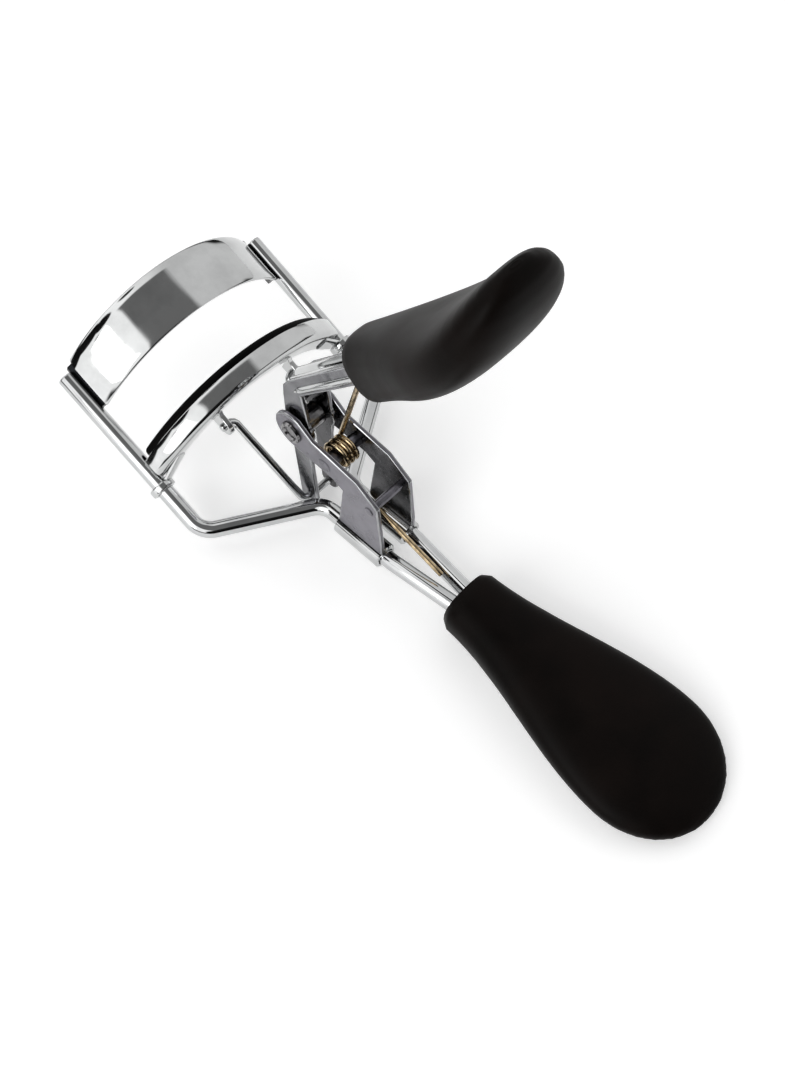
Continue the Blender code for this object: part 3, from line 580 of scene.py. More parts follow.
def arc(centre: Section, radius: float, start_deg: float, end_deg: float, steps: int = 8) -> list[Section]:
    """Points along an arc in a section plane. Returns them from start to end."""
    turns = [math.radians(start_deg + (end_deg - start_deg) * k / steps) for k in range(steps + 1)]
    return [(centre[0] + radius * math.cos(t), centre[1] + radius * math.sin(t)) for t in turns]


def thickened(line: Sequence[Section], thickness: float) -> list[Section]:
    """Gives a bent centre line in a section plane a sheet's thickness, with rounded edges.

    Args:
        line: the centre line's points.
        thickness: the sheet's thickness.

    Returns:
        The closed outline.
    """
    half = thickness / 2
    points = [Vector(p) for p in line]
    one, two = [], []
    for i, point in enumerate(points):
        along = (points[min(i + 1, len(points) - 1)] - points[max(i - 1, 0)]).normalized()
        out = Vector((-along.y, along.x)) * half
        one.append(point + out)
        two.append(point - out)

    def cap(point: Vector, along: Vector, out: Vector) -> list[Vector]:
        """The rounded end of the sheet. Returns its points."""
        return [point + along * half * math.sin(a) * EDGE_REACH + out * math.cos(a)
                for a in (math.pi / 4, math.pi / 2, 3 * math.pi / 4)]

    first = (points[0] - points[1]).normalized()
    last = (points[-1] - points[-2]).normalized()
    outline = one + cap(points[-1], last, one[-1] - points[-1])
    outline += two[::-1] + cap(points[0], first, two[0] - points[0])
    return [(p.x, p.y) for p in outline]


# ---------------------------------------------------------------- shared geometry


@dataclass(frozen=True)
class RailFrame:
    """The rails' own directions: across, along and in front of them."""

    half_spacing: float = 17.0
    tilt_deg: float = 23.5
    length: float = 27.5
    corner_y: float = 22.0
    wire_z: float = 3.3
    wire_radius: float = 1.2

    @property
    def along(self) -> Vector:
        """Unit direction up the rails."""
        tilt = math.radians(self.tilt_deg)
        return Vector((0.0, math.cos(tilt), math.sin(tilt)))

    @property
    def normal(self) -> Vector:
        """Unit direction out in front of the rails."""
        tilt = math.radians(self.tilt_deg)
        return Vector((0.0, -math.sin(tilt), math.cos(tilt)))

    def at(self, x: float, s: float, n: float) -> Vector:
        """A point at x across, s along the rails from the frame corner and n in front of them."""
        corner = Vector((x, self.corner_y, self.wire_z))
        return corner + self.along * s + self.normal * n


@dataclass(frozen=True)
class BowCurve:
    """The eyelid curve that the upper bow, the jaw and the pad share."""

    rails: RailFrame
    half_chord: float = 15.35
    sag: float = 7.9
    offset: float = 1.0
    lean_deg: float = 10.0

    @property
    def radius(self) -> float:
        """Radius of the curve."""
        return (self.half_chord**2 + self.sag**2) / (2 * self.sag)

    @property
    def half_angle(self) -> float:
        """Angle from the middle to each end, in radians."""
        return math.asin(self.half_chord / self.radius)

    def at(self, angle: float, s: float, radial: float = 0.0) -> Vector:
        """A point at an angle from the middle, s along the rails and radial off the sheet."""
        lean = math.radians(self.lean_deg)
        flat = self.radius - self.sag
        rise = (self.radius + radial) * math.cos(angle) - flat
        shift = (self.radius * math.cos(angle) - flat) * math.sin(lean)
        across = (self.radius + radial) * math.sin(angle)
        return self.rails.at(across, s + shift, self.offset + rise * math.cos(lean))

    def swept(self, outline: Sequence[Section], share: float = 1.0, steps: int = 72) -> bmesh.types.BMesh:
        """Sweeps a (radial, s) outline along the curve.

        Args:
            outline: the section's outline.
            share: how much of the half angle it covers.
            steps: steps along the curve.

        Returns:
            The mesh.
        """
        rings = []
        for i in range(steps + 1):
            angle = self.half_angle * share * (2 * i / steps - 1)
            rings.append([self.at(angle, s, radial) for radial, s in outline])
        return loft(rings)


GRIP_MOUTH_Y = -10.2
# How far the fixed grip's middle line stands over the wires.
LOWER_GRIP_LIFT = 0.7
RAILS = RailFrame()
BOW = BowCurve(RAILS)


# ---------------------------------------------------------------- sub-assemblies


@dataclass
class WireFrame:
    """Two bent chromed wires and the fixed upper bow between their rails."""

    shank_half_spacing: float = 1.35
    neck_half_spacing: float = 2.4
    neck_y: float = 13.2
    tube_rear_y: float = 1.6
    tail_y: float = -35.9
    taper_start: float = 0.6
    tube_lead: float = 1.0
    taper_radius: float = 6.0
    bend_radius: float = 3.2
    bow_low: float = 20.98
    bow_height: float = 7.9
    bow_sheet: float = 0.6
    rolled_height: float = 1.7
    rolled_deg: float = 24.0

    def wire(self, side: Side) -> None:
        """Builds one wire, from inside the fixed grip to the tip of its rail."""
        x = side.value
        z = RAILS.wire_z
        corners = [Vector((x * self.shank_half_spacing, self.tail_y, z)),
                   Vector((x * self.shank_half_spacing, GRIP_MOUTH_Y + self.taper_start, z)),
                   Vector((x * self.neck_half_spacing, self.tube_rear_y - self.tube_lead, z)),
                   Vector((x * self.neck_half_spacing, self.neck_y, z)),
                   Vector((x * RAILS.half_spacing, RAILS.corner_y, z)),
                   RAILS.at(x * RAILS.half_spacing, RAILS.length, 0.0)]
        path = rounded_path(corners, [self.taper_radius] * 2 + [self.bend_radius] * 2)
        finish_piece(f"{side.word}_chromed_wire", tube(path, RAILS.wire_radius), CHROMED_WIRE, Body.FRAME,
                     [f"{side.word}_frame_wire"])

    def bow(self) -> None:
        """Builds the upper bow: a curved sheet whose upper edge is rolled back."""
        low = self.bow_low + self.bow_sheet * 0.3
        high = self.bow_low + self.bow_height - self.bow_sheet / 2 * EDGE_REACH
        bend = high - self.rolled_height
        line = [(0.0, low + (bend - low) * k / 6) for k in range(7)]
        steps = 6
        place = Vector(line[-1])
        for k in range(1, steps + 1):
            turn = math.radians(self.rolled_deg) * (k - 0.5) / steps
            place = place + Vector((-math.sin(turn), math.cos(turn))) * self.rolled_height / steps
            line.append((place.x, place.y))
        finish_piece("upper_bow_sheet", BOW.swept(thickened(line, self.bow_sheet)), CHROMED_SHEET, Body.FRAME,
                     ["upper_bow_plate"])

    def paint_crease_shade(self, side: Side) -> None:
        """Builds the dark strip that paints the shade in the crease between the bow's end and its rail."""
        end = BOW.at(side.value * BOW.half_angle, 0.0)
        s_low, s_high = self.bow_low + 0.4, self.bow_low + self.bow_height - 0.5
        inner = abs(end.x) - 0.75
        outer = RAILS.half_spacing - RAILS.wire_radius + 0.25
        crease = [(inner, 1.25), (outer - 0.7, 0.75), (outer, 0.25), (outer, -0.75), (inner + 0.3, -0.75),
                  (inner + 0.1, 0.2)]
        steps = 8
        rings = []
        for k in range(steps + 1):
            s = s_low + (s_high - s_low) * k / steps
            rings.append([RAILS.at(side.value * x, s, n) for x, n in crease])
        piece = finish_piece(f"{side.word}_bow_crease_shade", loft(rings), CREASE_SHADE, Body.FRAME)
        round_edges(piece, 0.15)

    def build(self) -> None:
        """Builds both wires, the bow and the painted shade in its creases."""
        self.bow()
        for side in Side:
            self.wire(side)
            self.paint_crease_shade(side)


@dataclass
class SlidingJaw:
    """The pressed channel on the rails, its silicone pad, guide eyes and link lugs."""

    low: float = 8.9
    height: float = 3.0
    sheet: float = 0.5
    pad_thickness: float = 2.4
    pad_clearance: float = 0.3
    pad_top: float = 13.1
    pad_round: float = 0.75
    pad_share: float = 0.985
    fold_radius: float = 0.75
    rail_clearance: float = 0.3
    eye_wall: float = 0.55
    eye_height: float = 1.4
    eye_drop: float = 0.3
    eye_worn_share: float = 0.6
    eye_height_share: float = 0.4
    tongue_share: float = 0.8
    tongue_half_width: Section = (0.85, 1.1)
    tongue_half_sheet: float = 0.36
    lug_half_spacing: float = 6.3
    lug_sheet: float = 0.8
    lug_radius: float = 1.4
    lug_lap: float = 0.7
    lug_flare: float = 0.8
    link_s: float = 8.5
    link_n: float = 5.5

    def channel(self) -> None:
        """Builds the channel: two walls folded up from a floor, with round folds."""
        mid = self.pad_thickness / 2 + self.pad_clearance + self.sheet / 2
        r = self.fold_radius
        floor = self.low + self.sheet / 2
        top = self.low + self.height - self.sheet / 2 * EDGE_REACH
        left_fold = arc((-mid + r, floor + r), r, 180, 270)
        right_fold = arc((mid - r, floor + r), r, 270, 360)
        line = [(-mid, top)] + left_fold + right_fold + [(mid, top)]
        finish_piece("jaw_channel_sheet", BOW.swept(thickened(line, self.sheet)), CHROMED_SHEET, Body.JAW,
                     ["lower_jaw_channel"])

    def pad(self) -> None:
        """Builds the silicone strip with its round crown."""
        half = self.pad_thickness / 2
        low = self.low + self.sheet + self.pad_clearance
        r = self.pad_round
        outline = [(-half, low), (half, low)]
        outline += arc((half - r, self.pad_top - r), r, 0, 90)
        outline += arc((-half + r, self.pad_top - r), r, 90, 180)
        piece = finish_piece("silicone_pad_strip", BOW.swept(outline, self.pad_share), SILICONE, Body.JAW,
                             ["silicone_pad"])
        round_edges(piece, 0.3)

    def eye(self, side: Side) -> None:
        """Builds the ring that runs on one rail, and its tongue."""
        bore = RAILS.wire_radius + self.rail_clearance * self.eye_worn_share
        outer = RAILS.wire_radius + self.rail_clearance + self.eye_wall * self.eye_worn_share
        top = self.low - self.eye_drop
        half = self.eye_height * self.eye_height_share
        centre = RAILS.at(side.value * RAILS.half_spacing, top - self.eye_height / 2, 0.0)
        mid_r, wall = (bore + outer) / 2, (outer - bore) / 2
        sides, section_sides = 36, 16
        section = [squarish(math.tau * j / section_sides, 0.7, 0.5) for j in range(section_sides)]
        rings = []
        for k in range(sides):
            turn = math.tau * k / sides
            out = Vector((math.cos(turn), 0.0, 0.0)) + RAILS.normal * math.sin(turn)
            rings.append([centre + out * (mid_r + wall * c) + RAILS.along * half * s for c, s in section])
        finish_piece(f"{side.word}_guide_ring", loft(rings, closed=True), CHROMED_SHEET, Body.JAW,
                     [f"{side.word}_guide_eye"])
        self.tongue(side, centre, outer)

    def tongue(self, side: Side, centre: Vector, eye_radius: float) -> None:
        """Builds the flat tongue from one guide ring to the jaw's end.

        Args:
            side: the side it stands on.
            centre: the middle of the ring.
            eye_radius: the ring's outer radius.
        """
        target = BOW.at(side.value * BOW.half_angle * self.tongue_share, self.low + 0.1, 0.0)
        start = centre + (target - centre).normalized() * (eye_radius - 0.25)
        along = (target - start).normalized()
        across = along.cross(RAILS.along).normalized()
        steps, section_sides = 6, 16
        section = [squarish(math.tau * j / section_sides, 0.6, 0.6) for j in range(section_sides)]
        narrow, wide = self.tongue_half_width
        rings = []
        for k in range(steps + 1):
            place = start.lerp(target, k / steps)
            width = narrow + (wide - narrow) * k / steps
            rings.append([place + across * width * c + RAILS.along * self.tongue_half_sheet * s
                          for c, s in section])
        finish_piece(f"{side.word}_guide_tongue", loft(rings), CHROMED_SHEET, Body.JAW)

    def lug(self, side: Side) -> None:
        """Builds one of the ears under the jaw that hold the link."""
        top = self.low + self.lug_lap
        outline = arc((self.link_n, self.link_s), self.lug_radius, 180, 360, 16)
        outline += [(self.link_n + self.lug_radius, top),
                    (self.link_n + self.lug_radius + self.lug_flare, top + self.lug_lap),
                    (self.link_n - self.lug_radius, top + self.lug_lap)]
        points = [RAILS.at(0.0, s, n) for n, s in outline]
        inner = side.value * (self.lug_half_spacing - self.lug_sheet / 2)
        outer = side.value * (self.lug_half_spacing + self.lug_sheet / 2)
        piece = finish_piece(f"{side.word}_link_lug", plate([(p.y, p.z) for p in points], inner, outer),
                             CHROMED_SHEET, Body.JAW, [f"{side.word}_jaw_lug"])
        round_edges(piece, 0.16)

    def build(self) -> None:
        """Builds the whole jaw."""
        self.channel()
        self.pad()
        for side in Side:
            self.eye(side)
            self.lug(side)


@dataclass
class Link:
    """The wire bail that pushes the jaw: ends through the lugs, middle across the lever's foot."""

    jaw: SlidingJaw
    radius: float = 0.6
    foot: Section = (16.4, 1.8)
    foot_half: float = 3.2
    bend_radius: float = 1.0
    lug_gap: float = 0.3
    end_length: float = 0.45

    def build(self) -> None:
        """Builds the bail, with its ends just through the lugs."""
        at_jaw = RAILS.at(0.0, self.jaw.link_s, self.jaw.link_n)
        lug_in = self.jaw.lug_half_spacing - self.jaw.lug_sheet / 2 - self.lug_gap - self.radius
        lug_out = self.jaw.lug_half_spacing + self.jaw.lug_sheet / 2 + self.end_length
        points: list[Vector] = []
        for side in (-1, 1):
            run = [Vector((side * lug_out, at_jaw.y, at_jaw.z)), Vector((side * lug_in, at_jaw.y, at_jaw.z)),
                   Vector((side * self.foot_half, *self.foot))]
            points += run if side < 0 else run[::-1]
        path = rounded_path(points, [self.bend_radius] * 4, 10)
        finish_piece("link_bail_wire", tube(path, self.radius, 24, 0.2), CHROMED_WIRE, Body.LINK,
                     ["link_bail"])


@dataclass
class Bracket:
    """The two pressed ears rolled round the frame wires, with their pins and rivet."""

    inner_half: float = 2.6
    sheet: float = 0.7
    front_y: float = 9.7
    rear_y: float = 1.6
    top_z: float = 17.5
    arm_low_z: float = 13.9
    arm_top_z: float = 18.4
    throat: Section = (1.0, 0.8)
    throat_lead: float = 0.6
    eye_radius: float = 3.1
    eye_blend: float = 0.92
    eye_end_deg: float = 112.0
    arm_top_back: float = 3.6
    shoulder_back: float = 3.4
    rear_chamfer: Section = (0.9, 2.5)
    rear_drop: float = 10.5
    tube_wall: float = 0.4
    tube_clearance: float = 0.25
    neck_half_spacing: float = 2.4
    spring_axis: Section = (11.8, 15.6)
    rivet_axis: Section = (3.9, 13.4)

    def outline(self) -> list[Section]:
        """The ear above its tube, with the arm that reaches forward to the pivot. Returns (y, z) points."""
        low = RAILS.wire_z + RAILS.wire_radius * 0.5
        inset, drop = self.throat
        points: list[Section] = [(self.front_y, low), (self.front_y - inset, self.arm_low_z - drop)]
        points.append((self.front_y + self.throat_lead, self.arm_low_z))
        reach = (self.arm_low_z - PIVOT[1]) / self.eye_radius * self.eye_blend
        start = -180 - math.degrees(math.asin(max(-1.0, reach)))
        points += arc(PIVOT, self.eye_radius, start, self.eye_end_deg, 28)
        points += [(PIVOT[0] - self.arm_top_back, self.arm_top_z),
                   (self.front_y - self.shoulder_back, self.top_z),
                   (self.rear_y + self.rear_chamfer[0], self.top_z - self.rear_chamfer[1]),
                   (self.rear_y, self.top_z - self.rear_drop), (self.rear_y, low)]
        return points

    def ear(self, side: Side) -> None:
        """Builds one ear and its rolled tube."""
        outer_half = self.inner_half + self.sheet
        # The ear's darker plate colour is painted shade.
        piece = finish_piece(f"{side.word}_bracket_plate",
                             plate(self.outline(), side.value * self.inner_half, side.value * outer_half),
                             SATIN_SHADED_STEEL, Body.FRAME, [f"{side.word}_bracket_ear"])
        # Painted shade on the ear's face towards the other ear.
        paint_inner_shade(piece, side, self.inner_half + 0.1)
        # Brighter rounded edges: a painted highlight.
        round_edges(piece, 0.22, edge_highlight_finish=EDGE_HIGHLIGHT_STEEL)
        bore = RAILS.wire_radius + self.tube_clearance * 0.5
        outer = RAILS.wire_radius + self.tube_clearance + self.tube_wall
        half = (self.front_y - self.rear_y) / 2
        profile = [(-half, bore), (-half, outer - 0.15), (-half + 0.15, outer), (half - 0.15, outer),
                   (half, outer - 0.15), (half, bore)]
        centre = Vector((side.value * self.neck_half_spacing, (self.front_y + self.rear_y) / 2, RAILS.wire_z))
        rings = []
        sides = 36
        for k in range(sides):
            turn = math.tau * k / sides
            out = Vector((math.cos(turn), 0.0, math.sin(turn)))
            rings.append([centre + Vector((0.0, reach, 0.0)) + out * radius for reach, radius in profile])
        finish_piece(f"{side.word}_bracket_tube", loft(rings, closed=True), CHROMED_SHEET, Body.FRAME)

    def pin(self, name: str, node: str, centre: Section, radius: float, head: float, height: float,
            finish: PlatedMetal, ringed: bool = False) -> None:
        """Builds a pin whose heads outside the two ears are domed, or rolled over into rings."""
        half = self.inner_half + self.sheet + 0.02
        end = [(half, radius), (half, head * 0.92), (half + height * 0.15, head)]
        if ringed:
            end += [(half + height * rise, head * share)
                    for rise, share in ((0.8, 0.94), (1.0, 0.82), (0.85, 0.68), (0.3, 0.6), (0.25, 0.0))]
        else:
            end += [(half + height * (0.4 + 0.6 * math.sin(a)), head * math.cos(a))
                    for a in (0.3, 0.6, 0.9, 1.2, 1.45)]
            end.append((half + height, 0.0))
        profile = [(-x, r) for x, r in reversed(end)] + end
        finish_piece(name, turned(Vector((0.0, *centre)), Vector((1.0, 0.0, 0.0)), profile), finish,
                     Body.FRAME, [node])

    def build(self) -> None:
        """Builds both ears and the three pins."""
        for side in Side:
            self.ear(side)
        self.pin("lever_pivot_pin", "pivot_pin", PIVOT, radius=1.0, head=1.65, height=0.5,
                 finish=BRIGHT_STEEL, ringed=True)
        self.pin("spring_carrier_pin", "spring_pin", self.spring_axis, radius=1.0, head=1.05, height=0.08,
                 finish=FLUSH_STEEL)
        self.pin("bracket_rivet_pin", "bracket_rivet", self.rivet_axis, radius=0.6, head=0.7, height=0.16,
                 finish=FLUSH_STEEL)


@dataclass
class Lever:
    """The folded lever: foot, boss, elbow and the ribbed strap that runs into the upper grip."""

    half_width: float = 2.3
    sheet: float = 0.7
    foot: Section = (16.4, 1.8)
    foot_half: float = 1.6
    boss_radius: float = 2.7
    elbow: Section = (18.5, 24.3)
    strap_deg: float = 49.7
    strap_depth: float = 2.8
    strap_length: float = 19.0
    tang_length: float = 13.0
    arm_reach: float = 4.2
    boss_arc_deg: float = 38.0
    elbow_ease: float = 1.2
    throat_ease: float = 1.6
    neck_drop: float = 2.6
    throat_inset: float = 0.9
    throat_drop: float = 3.0
    fold_radius: float = 0.55
    fold_depth: float = 1.1
    rib_height: float = 0.45
    rib_half_width: float = 0.75
    groove_x: float = 0.95
    groove_width: float = 0.16
    groove_depth: float = 0.16
    side_rib_radius: float = 0.48
    side_rib_out: float = -0.35
    side_rib_start: float = 0.9
    web_inset: float = 0.3
    web_elbow: float = 0.4
    web_radius: float = 2.2
    web_end: Section = (0.75, 1.2)
    grip_lap: float = 3.0
    cheek_inset: float = 0.15

    @property
    def strap_dir(self) -> Vector:
        """Unit (y, z) direction up the strap."""
        return Vector((-math.cos(math.radians(self.strap_deg)), math.sin(math.radians(self.strap_deg))))

    @property
    def strap_out(self) -> Vector:
        """Unit (y, z) direction out of the strap's outer face."""
        return Vector((self.strap_dir.y, -self.strap_dir.x))

    def strap_at(self, distance: float, out: float) -> Vector:
        """A (y, z) point on the strap: distance from the elbow, out from its middle line."""
        return Vector(self.elbow) + self.strap_dir * distance + self.strap_out * out

    def outline(self) -> list[Section]:
        """One side of the lever. Returns its (y, z) points."""
        foot, pivot, elbow = Vector(self.foot), Vector(PIVOT), Vector(self.elbow)
        along = (pivot - foot).normalized()
        across = Vector((along.y, -along.x))
        end = self.strap_at(self.strap_length + self.tang_length - 1.0, 0.0)
        half = self.strap_depth / 2 - self.cheek_inset
        base = math.degrees(math.atan2(-along.y, -along.x))
        side = math.degrees(math.atan2(across.y, across.x))
        points = arc(self.foot, self.foot_half, base - 90, base + 90, 16)
        points.append(tuple(pivot - along * self.arm_reach + across * self.foot_half))
        points += arc(PIVOT, self.boss_radius, side - self.boss_arc_deg, side + self.boss_arc_deg, 10)
        top = elbow.y + self.strap_out.y * half
        front = pivot.x + self.boss_radius
        points += [(front - 0.4, top - self.neck_drop), (front - 0.5, top - 0.9)]
        points += [tuple(self.strap_at(self.elbow_ease, half)), tuple(end + self.strap_out * half),
                   tuple(end - self.strap_out * half), tuple(self.strap_at(self.throat_ease, -half))]
        points.append((pivot.x - self.boss_radius + self.throat_inset, elbow.y - self.throat_drop))
        back = side + 180
        points += arc(PIVOT, self.boss_radius, back - self.boss_arc_deg, back + self.boss_arc_deg, 10)
        points.append(tuple(pivot - along * self.arm_reach - across * self.foot_half))
        return points

    def cheek(self, side: Side) -> None:
        """Builds one side plate of the lever."""
        inner = side.value * (self.half_width - self.sheet)
        # The cheek's darker plate colour is a painted dark reflection.
        piece = finish_piece(f"{side.word}_lever_cheek",
                             plate(self.outline(), inner, side.value * (self.half_width - 0.02)),
                             SHADED_LEVER_STEEL, Body.LEVER, ["lever_channel"] if side is Side.LEFT else [])
        # Painted shade on the cheek's face towards the other cheek.
        paint_inner_shade(piece, side, self.half_width - self.sheet + 0.1)
        # Brighter rounded edges: a painted highlight.
        round_edges(piece, 0.2, edge_highlight_finish=EDGE_HIGHLIGHT_STEEL)

    def web_section(self) -> list[Section]:
        """The strap's cross-section: folded edges, two shallow grooves and a raised rib. Returns (x, out)."""
        edge, r = -self.half_width + self.sheet / 2, self.fold_radius
        fold = [(edge, -self.fold_depth)]
        fold += [(edge + r * (1 - math.cos(a)), -r + r * math.sin(a)) for a in (0.0, 0.4, 0.8, 1.2, 1.57)]
        middle = []
        for x in (-1.15, -0.95, -0.7, -0.45, -0.2, 0.0, 0.2, 0.45, 0.7, 0.95, 1.15):
            share = min(1.0, abs(x) / self.rib_half_width)
            crown = math.cos(share * math.pi / 2) ** 0.7 if share < 1.0 else 0.0
            groove = self.groove_depth * math.exp(-((abs(x) - self.groove_x) / self.groove_width) ** 2)
            middle.append((x, self.rib_height * crown - groove))
        return fold + middle + [(-x, out) for x, out in reversed(fold)]

    def web(self) -> None:
        """Builds the ribbed outer face, from the grip round the elbow to the boss."""
        outer = self.strap_depth / 2 - self.web_inset
        corner = self.strap_at(self.web_elbow, outer)
        bottom = Vector((PIVOT[0] + self.boss_radius - self.web_end[0], PIVOT[1] + self.web_end[1]))
        top = self.strap_at(self.strap_length + self.grip_lap + 1.0, outer)
        path = rounded_path([Vector((0.0, *point)) for point in (top, corner, bottom)], [self.web_radius], 16)
        section = thickened(self.web_section(), self.sheet * 0.6)
        rings = []
        for i, place in enumerate(path):
            along = (path[min(i + 1, len(path) - 1)] - path[max(i - 1, 0)]).normalized()
            out = Vector((0.0, -along.z, along.y))
            if out.dot(Vector((0.0, *self.strap_out))) < 0:
                out = -out
            rings.append([place + Vector((x, 0.0, 0.0)) + out * lift for x, lift in section])
        finish_piece("lever_ribbed_strap", loft(rings), CHROMED_SHEET, Body.LEVER)

    def side_rib(self, side: Side) -> None:
        """Builds the half-round rib pressed along one cheek of the strap."""
        x = side.value * (self.half_width - 0.05)
        start = self.strap_at(self.side_rib_start, self.side_rib_out)
        end = self.strap_at(self.strap_length + self.grip_lap, self.side_rib_out)
        steps = 12
        path = [Vector((x, *start.lerp(end, k / steps))) for k in range(steps + 1)]
        rib = tube(path, lambda reached: self.side_rib_radius * min(1.0, 0.35 + reached / 2.0))
        finish_piece(f"{side.word}_strap_rib", rib, CHROMED_SHEET, Body.LEVER)

    def build(self) -> None:
        """Builds the lever."""
        for side in Side:
            self.cheek(side)
            self.side_rib(side)
        self.web()


@dataclass
class ReturnSpring:
    """The torsion spring: coils on the carrier pin, one leg under the strap and one on the frame wires."""

    lever: Lever
    axis: Section = (11.8, 15.6)
    wire_radius: float = 0.375
    coil_radius: float = 1.725
    turns: int = 3
    pitch: float = 0.82
    lower_tip: Section = (-6.2, 5.175)
    upper_tip_back: float = 2.0
    strap_gap: float = 0.3

    def build(self) -> None:
        """Builds the spring, bent between the frame and the lever."""
        centre = Vector(self.axis)
        under = self.lever.strap_depth / 2 - self.lever.sheet - self.strap_gap - self.wire_radius
        upper_tip = self.lever.strap_at(self.lever.strap_length - self.upper_tip_back, under)
        lower_tip = Vector(self.lower_tip)

        def tangent_angle(tip: Vector, sense: int) -> float:
            """Where a straight leg from a tip meets the coil. Returns the angle."""
            away = tip - centre
            return math.atan2(away.y, away.x) - sense * math.acos(self.coil_radius / away.length)

        first, last = tangent_angle(upper_tip, 1), tangent_angle(lower_tip, -1)
        sweep = (last - first) % math.tau - math.tau * (self.turns + 1)
        steps = 36 * (self.turns + 1)
        width = self.pitch * abs(sweep) / math.tau
        coil = []
        for k in range(steps + 1):
            turn = first + sweep * k / steps
            coil.append(Vector((width / 2 - width * k / steps, centre.x + self.coil_radius * math.cos(turn),
                                centre.y + self.coil_radius * math.sin(turn))))
        head, tail = Vector((0.0, *upper_tip)), Vector((0.0, *lower_tip))
        leg_steps = 10
        path = [head.lerp(coil[0], k / leg_steps) for k in range(leg_steps)] + coil
        path += [coil[-1].lerp(tail, k / leg_steps) for k in range(1, leg_steps + 1)]
        spring = finish_piece("return_spring_wire", tube(path, self.wire_radius, 16, 0.1), SPRING_STEEL, None,
                              ["torsion_spring"])
        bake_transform(spring)


@dataclass
class Grip:
    """One soft-touch paddle: narrow at the mouth, broad and thin at the tip, its middle line curled out."""

    name: str
    node: str
    body: Body
    place: Callable[[Vector], Vector]
    length: float
    curl_deg: float
    curl_power: float
    half_width: float
    widest: float
    mouth_half_width: float
    mouth_half_thickness: float
    tip_half_thickness: float
    squareness: float = 2.6
    thinning: float = 1.8
    lip_share: float = 0.14
    lip_length: float = 1.1
    last_station: float = 0.9992
    stations: int = 60
    sides: int = 72

    def middle_line(self, steps: int = 400) -> list[tuple[float, float, float]]:
        """The bent middle line. Returns (v, w, lean) at equal steps along it."""
        line = [(0.0, 0.0, 0.0)]
        curl = math.radians(self.curl_deg)
        for i in range(steps):
            v, w, _ = line[-1]
            middle = curl * ((i + 0.5) / steps) ** self.curl_power
            lean = curl * ((i + 1) / steps) ** self.curl_power
            line.append((v + math.cos(middle) * self.length / steps,
                         w + math.sin(middle) * self.length / steps, lean))
        return line

    def ring(self, middle: tuple[float, float, float], wide: float, thick: float) -> Ring:
        """One section of the paddle, square to its middle line. Returns its points."""
        v, centre, lean = middle
        ring = []
        for k in range(self.sides):
            x, w = squarish(math.tau * k / self.sides, 2 / self.squareness, 2 / self.squareness)
            w *= thick
            ring.append(self.place(Vector((x * wide, v - w * math.sin(lean), centre + w * math.cos(lean)))))
        return ring

    def build(self) -> None:
        """Builds the paddle with its rounded mouth."""
        line = self.middle_line()
        rings = []
        for i in range(self.stations + 1):
            t = min(math.sin(math.pi / 2 * i / self.stations), self.last_station)
            grown = min(1.0, t / self.widest)
            ease = grown * grown * (3 - 2 * grown)
            wide = self.mouth_half_width + (self.half_width - self.mouth_half_width) * ease
            thin = t**self.thinning
            thick = self.mouth_half_thickness + (self.tip_half_thickness - self.mouth_half_thickness) * thin
            if t > self.widest:
                closing = (t - self.widest) / (1 - self.widest)
                wide *= math.sqrt(max(0.0, 1 - closing**2)) ** 0.95
                thick *= max(0.0, 1 - closing**3.2) ** 0.5
            from_mouth = min(1.0, self.length * t / self.lip_length)
            lip = 1 - self.lip_share + self.lip_share * math.sqrt(1 - (1 - from_mouth) ** 2)
            rings.append(self.ring(line[round(t * (len(line) - 1))], wide * lip, thick * lip))
        finish_piece(self.name, loft(rings), SOFT_TOUCH, self.body, [self.node], 60.0)


@dataclass(frozen=True)
class Panel:
    """A round patch of the room, seen only in reflections: where it lies, how wide and how bright."""

    towards: tuple[float, float, float]
    inner_deg: float
    outer_deg: float
    level: float


# Grey patches that shade the bow's left end, black flags for its rolled edge, and one low in front.
PANELS = (
    Panel((-0.88, 0.06, 0.47), 1.0, 5.0, 0.62),
    Panel((-0.80, 0.16, 0.57), 1.0, 4.5, 0.80),
    Panel((-0.80, 0.58, 0.10), 14.0, 16.0, 0.01),
    Panel((-0.75, 0.52, 0.42), 12.0, 14.0, 0.01),
    Panel((-0.62, 0.40, 0.68), 9.5, 11.0, 0.01),
    Panel((-0.15, 0.53, 0.82), 7.5, 8.5, 0.01),
    Panel((-0.30, -0.93, 0.24), 28.0, 33.0, 0.01),
)


